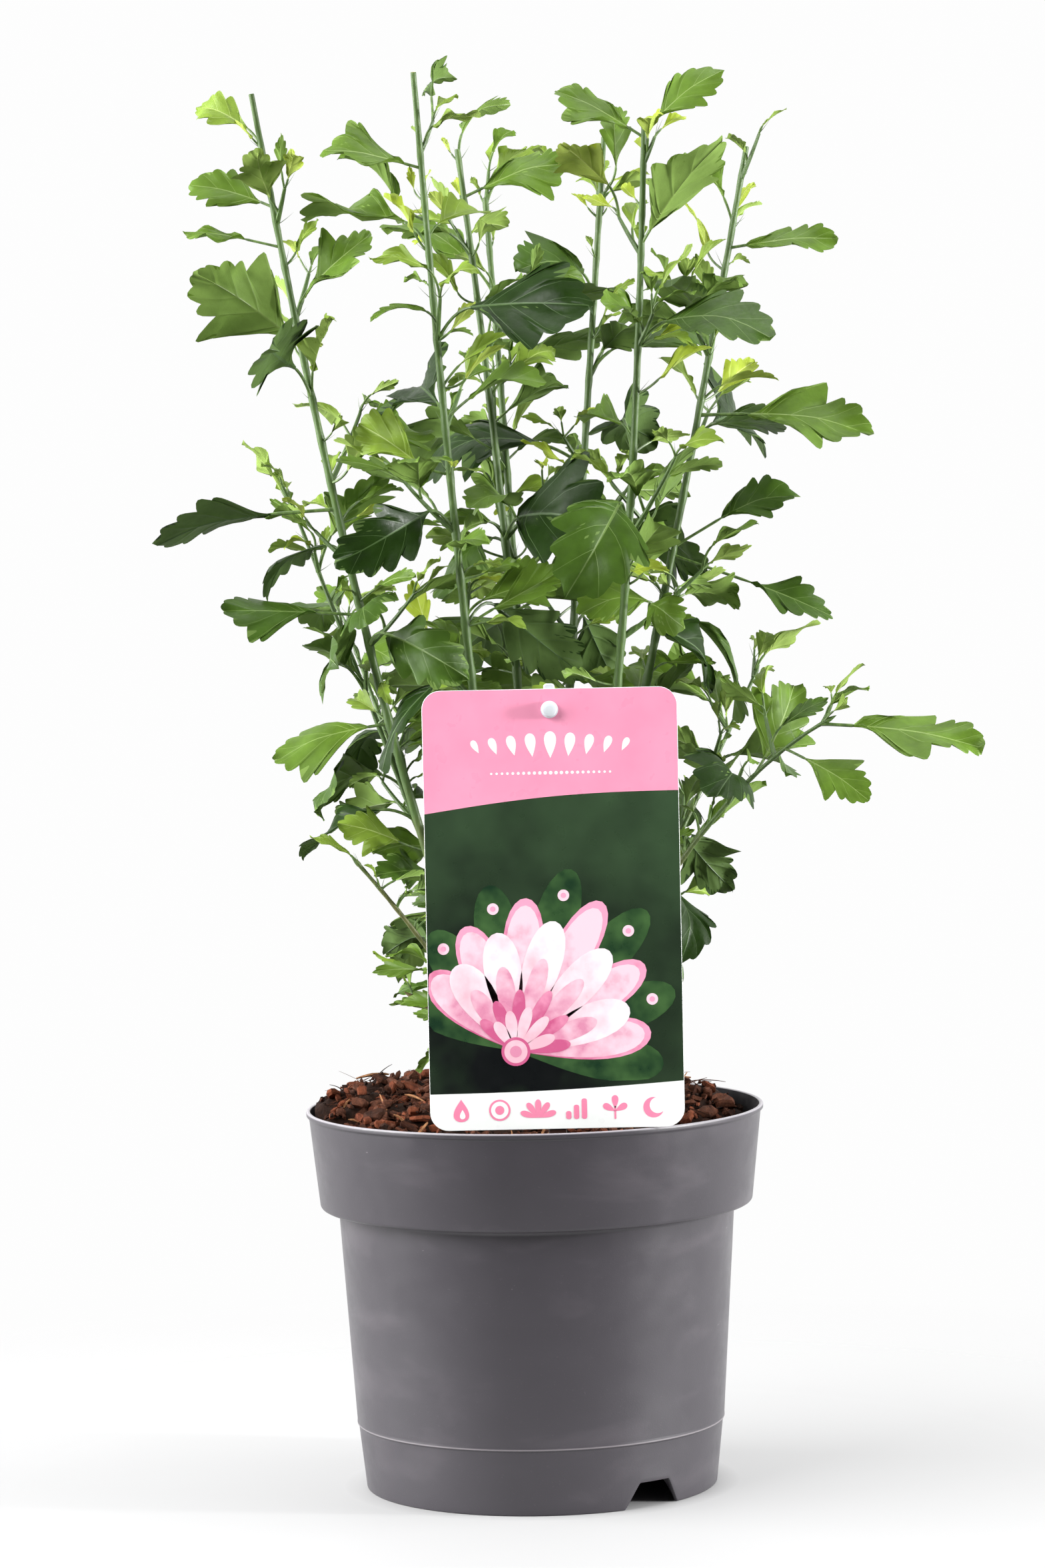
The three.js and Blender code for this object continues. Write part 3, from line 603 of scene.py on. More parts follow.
# ---------------------------------------------------------------- clash tests
def any_crossing(edges: Array, faces: Array, shifts: Sequence[float]) -> bool:
    """Whether any edge passes through any triangle, or through it moved along its normal.

    Args:
        edges: segments, as (n, 2, 3).
        faces: triangles, as (m, 3, 3).
        shifts: how far each triangle is moved along its normal.

    Returns:
        True at the first crossing.
    """
    if not len(edges) or not len(faces):
        return False
    corner = faces[:, 0]
    e1, e2 = faces[:, 1] - corner, faces[:, 2] - corner
    normal = unit(np.cross(e1, e2))
    moved = corner[:, None, :] + normal[:, None, :] * np.asarray(shifts, dtype=float)[None, :, None]
    origin = edges[:, 0][:, None, None, :] - moved[None]
    way = edges[:, 1] - edges[:, 0]
    h = np.cross(way[:, None, :], e2[None])
    det = np.einsum("fk,efk->ef", e1, h)
    flat = np.abs(det) < 1e-9
    share = 1 / np.where(flat, 1, det)[:, :, None]
    u = np.einsum("efsk,efk->efs", origin, h) * share
    k = np.cross(origin, e1[None, :, None, :])
    v = np.einsum("ek,efsk->efs", way, k) * share
    t = np.einsum("fk,efsk->efs", e2, k) * share
    hit = (u >= 0) & (u <= 1) & (v >= 0) & (u + v <= 1) & (t >= 0) & (t <= 1) & ~flat[:, :, None]
    return bool(hit.any())


def apart(a: Array, b: Array, c: Array, d: Array) -> Array:
    """Shortest distances between segments a-b and c-d, over any matching shapes.

    Args:
        a: starts of the first segments.
        b: their ends.
        c: starts of the second segments.
        d: their ends.

    Returns:
        The distances.
    """
    u, v, w = b - a, d - c, a - c
    uu, vv, uv = (u * u).sum(-1), (v * v).sum(-1), (u * v).sum(-1)
    uw, vw = (u * w).sum(-1), (v * w).sum(-1)
    bottom = uu * vv - uv * uv
    skew = bottom > 1e-9
    s = np.where(skew, np.clip((uv * vw - vv * uw) / np.where(skew, bottom, 1), 0, 1), 0)
    t = np.clip((uv * s + vw) / vv, 0, 1)
    s = np.clip((uv * t - uw) / uu, 0, 1)
    return np.linalg.norm(a + u * s[..., None] - (c + v * t[..., None]), axis=-1)


def by_limbs(edges: Array, limbs: Sequence[Limb], radius: float) -> bool:
    """Whether any edge, as thick as a radius, comes too close to any limb.

    Args:
        edges: segments, as (n, 2, 3).
        limbs: the limbs.
        radius: how thick the edges are.

    Returns:
        True at any touch.
    """
    if not limbs:
        return False
    ends = np.array([(limb.a, limb.b) for limb in limbs])
    gaps = apart(edges[:, None, 0], edges[:, None, 1], ends[None, :, 0], ends[None, :, 1])
    return bool((gaps < radius + np.array([limb.radius for limb in limbs]) + LIMB_CLEAR).any())


def in_open_air(points: Array, label: LabelSize, pot: PotSize) -> bool:
    """Whether points keep clear of the label, the rim, the compost and the crown's top.

    Args:
        points: what is tested, as (n, 3).
        label: the card.
        pot: the pot.

    Returns:
        True where all are clear.
    """
    x, y, z = points.T
    beside = np.abs(x - label.centre) < label.width / 2 + ROOM_BESIDE
    by_label = (y < label.front + ROOM_BEHIND) & (z < label.top + ROOM_OVER) & beside
    low = (np.hypot(x, y) < pot.rim_radius + ROOM_OVER) & (z < pot.height + ROOM_OVER)
    return not bool((by_label | low | (z >= CROWN_TOP)).any())


class Crowd:
    """Blades or limbs that have grown so far, each with its centre and its reach."""

    def __init__(self, room: int = 4000) -> None:
        """Set aside room for their centres and reaches."""
        self.centres, self.reaches = np.zeros((room, 3)), np.zeros(room)
        self.members: list[Blade | Limb] = []

    def push(self, member: Blade | Limb) -> None:
        """Add one.

        Args:
            member: the blade or limb.
        """
        n = len(self.members)
        self.centres[n], self.reaches[n] = member.centre, member.reach
        self.members.append(member)

    def near(self, other: Blade | Limb) -> list[Blade | Limb]:
        """Those that may touch another.

        Args:
            other: a blade or limb, which need not be a member.

        Returns:
            The members in reach, in the order that they grew.
        """
        n = len(self.members)
        gaps = np.linalg.norm(self.centres[:n] - other.centre, axis=1)
        return [self.members[i] for i in np.nonzero(gaps < self.reaches[:n] + other.reach)[0]]


# ---------------------------------------------------------------- the growth rule
@dataclass
class Node:
    """A leaf node on a cane or a twig's end, where sprouts may grow."""

    cane: Cane
    at: Array
    bearing: float
    rise: float
    down: float


class Plant:
    """The whole shrub's leaves, twigs and nodes, grown by the seeded rule."""

    def __init__(self, canes: Sequence[Cane], label: LabelSize, pot: PotSize) -> None:
        """Prepare an empty plant and work out its canes' lines.

        Args:
            canes: its canes.
            label: the card that it keeps clear of.
            pot: the pot that it stands in.
        """
        self.canes, self.label, self.pot = canes, label, pot
        self.paths = {cane.name: CanePath(cane) for cane in canes}
        self.leaves: list[Leaf] = []
        self.twigs: list[Limb] = []
        self.nodes: list[Node] = []
        self.blades, self.limbs = Crowd(), Crowd()

    def grow(self) -> None:
        """Grow the solids' leaves in their order, and then the sprouts among them."""
        for path in self.paths.values():
            for i in range(0, CanePath.STEPS, 2):
                radius = Span(*path.cane.habit.radii).at(i / CanePath.STEPS)
                self.limbs.push(Limb(path.cane.name, path.points[i], path.points[i + 2], radius))
        for name, below, bearing, pitch, stalk, length, roll in LEADERS:
            path = self.paths[name]
            wish = Wish(
                start=path.at(path.length - below), bearing=bearing, rise=pitch, yaw=0, pitch=pitch,
                roll=roll, stalk=stalk + path.cane.habit.radii[1], length=length,
                age=min(LEADER_RIPEST, LEADER_AGE + below / LEADER_RIPENS), **LEADER_FORM,
            )
            self.try_leaf(name, wish, RETRIES[:1])
        for cane in self.canes:
            self.clothe(cane)
        grown = len(self.leaves)
        for index, node in enumerate(self.nodes):
            self.sprout(node, Dice(node.cane.seed * SEED_STEP + SPROUT_SEED + index))
        sprouts = len(self.leaves) - grown
        log.info("grew %d leaves, %d twigs and %d sprout leaves", grown, len(self.twigs), sprouts)

    def blade_fits(self, blade: Blade) -> bool:
        """Whether a blade touches nothing that has grown so far.

        Args:
            blade: the blade.

        Returns:
            True where it may grow.
        """
        if not in_open_air(blade.points, self.label, self.pot):
            return False
        near, shifts = self.blades.near(blade), (-LEAF_CLEAR, 0, LEAF_CLEAR)
        if near and any_crossing(blade.edges, np.concatenate([b.faces for b in near]), shifts):
            return False
        if near and any_crossing(np.concatenate([b.edges for b in near]), blade.faces, shifts):
            return False
        limbs = self.limbs.near(blade)
        if any_crossing(np.array([(limb.a, limb.b) for limb in limbs]), blade.faces, (0,)):
            return False
        return not by_limbs(blade.edges, limbs, 0)

    def limb_fits(self, limb: Limb) -> bool:
        """Whether a twig or stalk touches no blade and no limb of another mass.

        Args:
            limb: the twig or stalk.

        Returns:
            True where it may grow.
        """
        if not in_open_air(limb.b[None], self.label, self.pot):
            return False
        line = np.array([(limb.a, limb.b)])
        others = [other for other in self.limbs.near(limb) if other.mass != limb.mass]
        if by_limbs(line, others, limb.radius):
            return False
        near = self.blades.near(limb)
        if not near:
            return True
        if any_crossing(line, np.concatenate([blade.faces for blade in near]), (0,)):
            return False
        return not by_limbs(np.concatenate([blade.edges for blade in near]), [limb], 0)

    def try_leaf(self, mass: str, wish: Wish, poses: Iterable[tuple[float, float]] = RETRIES) -> None:
        """Place a leaf in the first pose that touches nothing, if there is one.

        Args:
            mass: name of the cane that bears it.
            wish: the leaf wanted.
            poses: the swings and lifts to try.
        """
        for swing, lift in poses:
            base = wish.start + heading(wish.bearing + swing, wish.rise + lift) * wish.stalk
            out = heading(wish.bearing + swing + wish.yaw, wish.pitch + lift)
            side = turned(unit(np.cross(out, vector(0, 0, 1))), out, wish.roll)
            leaf = Leaf(
                wish.length, wish.width, wish.bend, wish.fold, wish.twist, wish.age,
                mass, wish.start, base, out, side, np.cross(side, out),
            )
            blade, stalk = Blade(leaf), Limb(mass, wish.start, base, STALK_RADIUS)
            if self.blade_fits(blade) and self.limb_fits(stalk):
                self.leaves.append(leaf)
                self.blades.push(blade)
                self.limbs.push(stalk)
                return

    def clothe(self, cane: Cane) -> None:
        """Grow leaves and side twigs down one cane, from its tip to where it is bare.

        Args:
            cane: the cane.
        """
        path, habit = self.paths[cane.name], cane.habit
        run = path.length * (1 - habit.start) - habit.stub - BARE_END
        count = math.floor(run / habit.spacing + 0.5) + 1
        taken = [path.length - row[1] for row in LEADERS if row[0] == cane.name]
        for i in range(count):
            dice = Dice(cane.seed * SEED_STEP + i)
            down = i / (count - 1)
            place = NODE_SHIFT.pick(dice) if i else 0
            distance = path.length - habit.stub - 1 - run * down + place
            at = path.at(distance)
            bearing = cane.turn + TURN * i + ON_CANE.swing.pick(dice)
            share = min(GROWING_DOWN.at(down), FULL_DOWN.at(down))
            size = habit.leaf * share * ON_CANE.size.pick(dice)
            wish = ON_CANE.wish(
                dice, at, bearing, RISE_DOWN.at(down), PITCH_DOWN.at(down), BEND_DOWN.at(down), size,
                habit.radii[0], AGE_DOWN.at(min(1, down * AGE_PACE)),
            )
            if all(abs(spot - distance) > LEADER_ROOM for spot in taken):
                self.try_leaf(cane.name, wish)
            self.nodes.append(Node(cane, at, bearing, wish.rise, down))
            if i + 1 < count:
                between = path.at(distance - run / (count - 1) / 2)
                self.nodes.append(Node(cane, between, bearing + TURN / 2, wish.rise, down))
            young = down < TWIG_YOUNG
            length = habit.side * TWIG_REACH[young].pick(dice) + TWIG_LEAST
            way = bearing + TWIG_SWING.pick(dice)
            twig = Node(cane, at, way, TWIG_RISE_DOWN.at(down), down)
            self.grow_twig(twig, dice, length, habit.leaf * TWIG_LEAF[young], TWIG_AGE[young])

    def grow_twig(self, root: Node, dice: Dice, length: float, leaf_length: float, age: float) -> None:
        """Grow a side twig with smaller leaves winding up it and one at its end.

        Args:
            root: the node that it springs from, with the twig's own bearing and elevation.
            dice: the node's numbers.
            length: its length.
            leaf_length: the length of its leaves before chance.
            age: 0 for a fresh twig, 1 for a ripe one.
        """
        tip = root.at + heading(root.bearing, root.rise) * length
        twig = Limb(root.cane.name, root.at, tip, TWIG_RADIUS)
        if not self.limb_fits(twig):
            return
        self.limbs.push(twig)
        self.twigs.append(twig)
        last = 1 + math.floor(length / TWIG_LEAF_EVERY)
        for i in range(last + 1):
            share = TWIG_SHARES.at(i / last)
            size = leaf_length * TWIG_SIZES.at(share) * ON_TWIG.size.pick(dice)
            turn = 0 if i == last else (1 if i % 2 else -1) * ON_TWIG.swing.pick(dice)
            start = root.at + (tip - root.at) * share * TWIG_HOLD
            self.try_leaf(root.cane.name, ON_TWIG.wish(
                dice, start, root.bearing + turn, root.rise, root.rise, 0, size, TWIG_RADIUS,
                age * TWIG_AGES.at(share),
            ))
        self.nodes.append(Node(root.cane, tip, root.bearing, root.rise, 1 - age))

    def sprout(self, node: Node, dice: Dice) -> None:
        """Grow small fresh leaves in an axil, where there is room for them.

        Args:
            node: the axil.
            dice: its numbers.
        """
        low = not node.cane.habit.stub
        for _ in range(int(SPROUT_COUNT.pick(dice) * (LOW_SPROUTS if low else 1))):
            size = SPROUT_LEAF.at(min(1, 2 * node.down)) * ON_SPROUT.size.pick(dice)
            wish = ON_SPROUT.wish(
                dice, node.at, node.bearing + ON_SPROUT.swing.pick(dice), node.rise, node.rise, 0, size,
                node.cane.habit.radii[0], SPROUT_AGE[low],
            )
            wish.age += SPROUT_RIPER * node.down * dice.roll()
            self.try_leaf(node.cane.name, wish, RETRIES[:3])


# ---------------------------------------------------------------- meshes
class Slot(Enum):
    """The record's material slots."""

    POT = "pot"
    COMPOST = "compost"
    STOCK = "stock"
    CANE = "cane"
    FOLIAGE = "foliage"
    LABEL = "label"
    STICK = "stick"


class MeshBuffer:
    """Collects points in millimetres round the pot's axis, with faces and their materials."""

    def __init__(self) -> None:
        """Start empty."""
        self.points: list[Array] = []
        self.faces: list[Face] = []
        self.slots: list[int] = []
        self.count = 0

    def add(self, points: Array, faces: Iterable[Face], slots: int | Sequence[int] = 0) -> None:
        """Add a form.

        Args:
            points: its points, as (n, 3).
            faces: its faces, over those points.
            slots: the material's place for all faces, or for each.
        """
        start = self.count
        moved = [tuple(i + start for i in face) for face in faces]
        self.points.append(np.asarray(points, dtype=float))
        self.faces.extend(moved)
        self.slots.extend([slots] * len(moved) if isinstance(slots, int) else slots)
        self.count += len(points)

    def add_tube(self, path: Array, radii: Array, sides: int, slot: int) -> None:
        """Add a round limb with closed ends."""
        self.add(tube(path, radii, sides), closed_sweep(len(path), sides), slot)

    def build(
        self, name: str, slot: Slot, materials: Sequence[bpy.types.Material], sharp: float,
        nodes: Sequence[str] = (),
    ) -> None:
        """Make the object, ride it on the body and hide the CAD nodes that it stands for.

        Args:
            name: the piece's name.
            slot: the record's material slot; not used.
            materials: the materials, in the order of the faces' slots.
            sharp: edges that turn more than this, in degrees, stay sharp.
            nodes: the CAD nodes that it replaces.
        """
        mesh = bpy.data.meshes.new(name)
        points = np.concatenate(self.points) * MM + AXIS
        mesh.from_pydata(points.tolist(), [], self.faces)
        for material in materials:
            mesh.materials.append(material)
        mesh.polygons.foreach_set("material_index", self.slots)
        mesh.polygons.foreach_set("use_smooth", [True] * len(self.faces))
        mesh.update()
        mesh.set_sharp_from_angle(angle=math.radians(sharp))
        piece = bpy.data.objects.new(name, mesh)
        bpy.context.scene.collection.objects.link(piece)
        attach(piece, BODY)
        if nodes:
            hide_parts(*nodes)
        log.info("built %s: %d points, %d faces", name, len(points), len(self.faces))


def bearings(sides: int) -> Array:
    """Angles of a ring's points, in radians."""
    return np.arange(sides) * 2 * math.pi / sides


def circle(radius: float | Array, height: float | Array, angles: Array) -> Array:
    """A ring of points round the upright axis."""
    flat = np.ones(len(angles))
    return np.stack([np.cos(angles) * radius, np.sin(angles) * radius, flat * height], 1)


def sweep_sides(rings: int, sides: int) -> list[Face]:
    """Quads between the rings of a sweep, numbered ring by ring.

    Args:
        rings: how many rings it has.
        sides: points in each ring.

    Returns:
        The faces.
    """
    faces = []
    for start in range(0, (rings - 1) * sides, sides):
        for j in range(sides):
            k = (j + 1) % sides
            faces.append((start + j, start + k, start + sides + k, start + sides + j))
    return faces


def sweep_ends(rings: int, sides: int) -> list[Face]:
    """The faces that close a sweep's first and last rings."""
    return [tuple(range(sides - 1, -1, -1)), tuple(range((rings - 1) * sides, rings * sides))]


def closed_sweep(rings: int, sides: int) -> list[Face]:
    """All faces of a closed sweep, from its sides to its ends."""
    return sweep_sides(rings, sides) + sweep_ends(rings, sides)


def quadratic(first: Array, pull: Array, last: Array, t: float | Array) -> Array:
    """Points of the curve that leaves one end towards a pull and comes to the other from it."""
    return (first * (1 - t) + pull * t) * (1 - t) + (pull * (1 - t) + last * t) * t


def tube(
    path: Array, radii: Array, sides: int, relief: Callable[[int, Array], Array] | None = None
) -> Array:
    """The rings of a round limb along a path.

    Args:
        path: its centre line, as (n, 3).
        radii: its radius at each point.
        sides: how many sides it has.
        relief: gives the radius's factor from a ring's number and its angles.

    Returns:
        The points, ring by ring.
    """
    ways = unit(np.gradient(path, axis=0))
    guide = vector(1, 0, 0) if abs(ways[0][2]) > 0.9 else vector(0, 0, 1)
    angles = bearings(sides)
    points = []
    for i, way in enumerate(ways):
        guide = unit(guide - way * float(guide @ way))
        factor = relief(i, angles) if relief else 1.0
        other = np.cross(way, guide)
        ring = np.outer(np.cos(angles) * factor, guide) + np.outer(np.sin(angles) * factor, other)
        points.append(path[i] + ring * radii[i])
    return np.concatenate(points)


def rounded(corners: Sequence[tuple[float, float, float]], steps: int = 3) -> Array:
    """An open outline with its corners turned into arcs.

    Args:
        corners: the corners, each with the radius of its arc.
        steps: the stretches of each arc.

    Returns:
        The outline's points, as (n, 2).
    """
    points = [vector(*corners[0][:2])]
    for before, here, after in zip(corners, corners[1:], corners[2:]):
        spot = vector(*here[:2])
        back, on = vector(*before[:2]) - spot, vector(*after[:2]) - spot
        room = min(np.linalg.norm(back), np.linalg.norm(on)) * 0.48
        back, on = unit(back), unit(on)
        half = math.acos(float(np.clip(back @ on, -1, 1))) / 2
        cut = min(here[2] / max(math.tan(half), 1e-6), room)
        if cut < 1e-3:
            points.append(spot)
            continue
        radius = cut * math.tan(half)
        centre = spot + unit(back + on) * (radius / math.sin(half))
        first, last = spot + back * cut - centre, spot + on * cut - centre
        for i in range(steps + 1):
            swing = first * (1 - i / steps) + last * (i / steps)
            points.append(centre + unit(swing) * radius)
    points.append(vector(*corners[-1][:2]))
    return np.array(points)


# ---------------------------------------------------------------- finishes
def linear(red: int, green: int, blue: int) -> Colour:
    """A display colour from 0 to 255 as scene colour.

    Args:
        red: the red channel.
        green: the green channel.
        blue: the blue channel.

    Returns:
        The scene colour.
    """
    def one(value: float) -> float:
        """One channel."""
        share = value / 255
        return share / 12.92 if share <= 0.04045 else ((share + 0.055) / 1.055) ** 2.4
    return one(red), one(green), one(blue)


class Wiring:
    """A node tree being wired."""

    def __init__(self, tree: bpy.types.NodeTree) -> None:
        """Take the tree."""
        self.tree = tree

    def node(self, kind: str, inputs: Inputs | None = None, **settings: object) -> bpy.types.Node:
        """Make a node.

        Args:
            kind: its type, without "ShaderNode".
            inputs: what feeds its inputs, as sockets, or what they are set to.
            settings: its options.

        Returns:
            The node.
        """
        made = self.tree.nodes.new(f"ShaderNode{kind}")
        for key, value in settings.items():
            setattr(made, key, value)
        for key, value in (inputs or {}).items():
            self.feed(made.inputs[key], value)
        return made

    def feed(self, target: Socket, value: object) -> None:
        """Join a socket to an input, or set the input to a colour, a vector or a number.

        Args:
            target: the input.
            value: what feeds it.
        """
        if isinstance(value, Socket):
            self.tree.links.new(value, target)
        elif isinstance(value, tuple) and len(target.default_value) == 4:
            target.default_value = (*value, 1)
        else:
            target.default_value = value

    def span(self, factor: Socket, low: float, high: float, least: float, most: float) -> Socket:
        """A factor stretched from low..high to least..most."""
        ends = {"Value": factor, "From Min": low, "From Max": high, "To Min": least, "To Max": most}
        return self.node("MapRange", ends).outputs["Result"]

    def axis(self, name: str, place: Socket) -> Socket:
        """One coordinate of a place."""
        return self.node("SeparateXYZ", {"Vector": place}).outputs[name]

    def mixed(self, factor: Socket | float, first: bpy.types.Node, second: bpy.types.Node) -> bpy.types.Node:
        """Two shaders mixed by a factor."""
        return self.node("MixShader", {"Fac": factor, 1: first.outputs[0], 2: second.outputs[0]})


class Shader(Wiring):
    """A material being mixed: one Principled surface and what feeds it."""

    MIDDLE = (0.3, 0.7)

    def __init__(self, name: str) -> None:
        """Start a material with its surface node.

        Args:
            name: the material's name.
        """
        self.material = bpy.data.materials.new(name)
        self.material.use_nodes = True
        super().__init__(self.material.node_tree)
        self.surface = self.tree.nodes["Principled BSDF"]
        self.place = self.node("TexCoord").outputs["Object"]

    def noise(
        self, scale: float, detail: float = 3, rough: float = 0.5, stretch: Colour = (1, 1, 1),
        warp: float = 0,
    ) -> Socket:
        """Noise over the object's place.

        Args:
            scale: patches per metre.
            detail: octaves.
            rough: weight of the finer octaves.
            stretch: factors of the scale along X, Y and Z.
            warp: how far it is distorted.

        Returns:
            The factor socket.
        """
        mapping = self.node("Mapping", {"Vector": self.place, "Scale": stretch})
        return self.node("TexNoise", {
            "Vector": mapping.outputs["Vector"], "Scale": scale, "Detail": detail, "Roughness": rough,
            "Distortion": warp,
        }).outputs["Fac"]

    def ramp(self, factor: Socket, *stops: tuple[float, Colour]) -> Socket:
        """Colours over a factor.

        Args:
            factor: what runs from 0 to 1.
            stops: places and their colours.

        Returns:
            The colour socket.
        """
        ramp = self.node("ValToRGB", {"Fac": factor})
        elements = ramp.color_ramp.elements
        while len(elements) < len(stops):
            elements.new(0.5)
        for element, (place, colour) in zip(elements, stops):
            element.position, element.color = place, (*colour, 1)
        return ramp.outputs["Color"]

    def height(self) -> Socket:
        """The place's own height, in metres."""
        return self.axis("Z", self.place)

    def distance(self, spot: Array) -> Socket:
        """How far the place is from a spot, in metres."""
        inputs = {0: self.place, 1: Vector(spot)}
        return self.node("VectorMath", inputs, operation="DISTANCE").outputs["Value"]

    def blend(self, factor: Socket, first: Socket, second: Socket | Colour) -> Socket:
        """A colour mixed with another by a factor."""
        return self.node("Mix", {"Factor": factor, 6: first, 7: second}, data_type="RGBA").outputs[2]

    def patchy(self, noise: Socket, base: Socket, clamp: bool = False) -> Socket:
        """A factor that a noise makes uneven."""
        inputs = {0: noise, 1: 0.7, 2: base}
        return self.node("Math", inputs, operation="MULTIPLY_ADD", use_clamp=clamp).outputs["Value"]

    def band(self, at: float, reach: float, most: float = 1) -> Socket:
        """A factor that peaks at a height and is gone a reach above and below it.

        Args:
            at: the height, in metres.
            reach: the reach, in metres.
            most: the peak.

        Returns:
            The factor socket.
        """
        off = self.node("Math", {0: self.height(), 1: at}, operation="SUBTRACT").outputs["Value"]
        away = self.node("Math", {0: off}, operation="ABSOLUTE").outputs["Value"]
        return self.span(away, 0, reach, most, 0)

    def tint(self, factor: Socket, *stops: tuple[float, Colour]) -> None:
        """Colour the surface over a factor."""
        self.feed(self.surface.inputs["Base Color"], self.ramp(factor, *stops))

    def satin(self, noise: Socket, least: float, most: float, shine: float | None = None) -> None:
        """Let the roughness wander between two values, and set how strongly the surface shines.

        Args:
            noise: what it wanders by.
            least: the lowest roughness.
            most: the highest roughness.
            shine: the specular level, or None for the node's own.
        """
        self.feed(self.surface.inputs["Roughness"], self.span(noise, *self.MIDDLE, least, most))
        if shine is not None:
            self.feed(self.surface.inputs["Specular IOR Level"], shine)

    def bump(self, height: Socket, depth: float, strength: float) -> None:
        """Feed the normal from a height, depth metres deep, over any bump already there.

        Args:
            height: the relief.
            depth: metres between its lowest and highest.
            strength: its share.
        """
        normal = self.surface.inputs["Normal"]
        inputs = {"Height": height, "Distance": depth, "Strength": strength}
        if normal.is_linked:
            inputs["Normal"] = normal.links[0].from_socket
        self.feed(normal, self.node("Bump", inputs).outputs["Normal"])

    def show(self, shader: bpy.types.Node) -> bpy.types.Material:
        """Put a shader on the material's output."""
        self.feed(self.tree.nodes["Material Output"].inputs["Surface"], shader.outputs[0])
        return self.material

    def glow_through(self, colour: Colour, share: float) -> bpy.types.Material:
        """Let some light through, as a thin leaf does."""
        return self.show(self.mixed(share, self.surface, self.node("BsdfTranslucent", {"Color": colour})))


def shade(colour: Colour, factor: float) -> Colour:
    """A colour made lighter or darker."""
    return tuple(min(1.0, c * factor) for c in colour)


def toward(first: Colour, second: Colour, share: float) -> Colour:
    """A colour on the way from one to another."""
    return tuple(a + (b - a) * share for a, b in zip(first, second))


@dataclass(frozen=True)
class LeafFinish:
    """One green of the foliage: satin above, paler and matt below, with pale veins."""

    above: Colour
    below: Colour
    vein: Colour
    through: Colour
    gloss: float

    def upper(self, name: str) -> bpy.types.Material:
        """The upper side: satin, faintly mottled between the veins.

        Args:
            name: the tone's name.

        Returns:
            The material.
        """
        shader = Shader(f"leaf_{name}_upper")
        c = self.above
        shader.tint(shader.noise(90, 4, 0.6), (0.32, shade(c, 0.82)), (0.5, c), (0.7, shade(c, 1.22)))
        shader.satin(shader.noise(420), self.gloss - 0.06, self.gloss + 0.1, 0.16)
        shader.bump(shader.noise(700), 0.00016, 0.5)
        return shader.glow_through(self.through, 0.2)

    def lower(self, name: str) -> bpy.types.Material:
        """The lower side: matt and paler.

        Args:
            name: the tone's name.

        Returns:
            The material.
        """
        shader = Shader(f"leaf_{name}_lower")
        shader.tint(shader.noise(110, 4, 0.6), (0.3, shade(self.below, 0.88)), (0.7, shade(self.below, 1.12)))
        shader.satin(shader.noise(500), 0.55, 0.7, 0.12)
        shader.bump(shader.noise(900), 0.00016, 0.5)
        return shader.glow_through(self.through, 0.22)

    def ribs(self, name: str) -> bpy.types.Material:
        """The veins.

        Args:
            name: the tone's name.

        Returns:
            The material.
        """
        shader = Shader(f"leaf_{name}_vein")
        shader.tint(shader.noise(260), (0.3, shade(self.vein, 0.85)), (0.7, shade(self.vein, 1.12)))
        shader.satin(shader.noise(600), 0.42, 0.55)
        return shader.glow_through(self.through, 0.15)


def leaf_finish(above: Bytes, below: Bytes, vein: Bytes, through: Bytes, gloss: float) -> LeafFinish:
    """A green given by its display colours."""
    return LeafFinish(linear(*above), linear(*below), linear(*vein), linear(*through), gloss)


class Tone(Enum):
    """The foliage's greens, from the freshest to the ripest."""

    BRIGHT = leaf_finish((158, 176, 56), (170, 188, 92), (186, 200, 104), (184, 200, 64), 0.44)
    FRESH = leaf_finish((117, 142, 50), (136, 160, 80), (150, 170, 86), (148, 175, 58), 0.42)
    MID = leaf_finish((87, 115, 37), (119, 146, 71), (119, 144, 67), (128, 161, 51), 0.4)
    DARK = leaf_finish((60, 86, 27), (99, 124, 61), (95, 120, 55), (108, 141, 46), 0.38)
    DEEP = leaf_finish((31, 52, 14), (79, 102, 52), (62, 88, 39), (86, 119, 38), 0.36)

    def materials(self) -> list[bpy.types.Material]:
        """The materials of both sides and the veins."""
        name = self.name.lower()
        return [self.value.upper(name), self.value.lower(name), self.value.ribs(name)]


TONE_STEPS = ((0.09, Tone.BRIGHT), (0.36, Tone.FRESH), (0.7, Tone.MID), (0.96, Tone.DARK))
TONE_SPREAD = 0.42


def tone_of(age: float, dice: Dice) -> Tone:
    """The green of a leaf, dealt out by its age and by chance.

    Args:
        age: 0 for a fresh leaf, 1 for a ripe one.
        dice: the leaf's numbers.

    Returns:
        The tone.
    """
    score = age + TONE_SPREAD * (dice.roll() - 0.5)
    for limit, tone in TONE_STEPS:
        if score < limit:
            return tone
    return Tone.DEEP


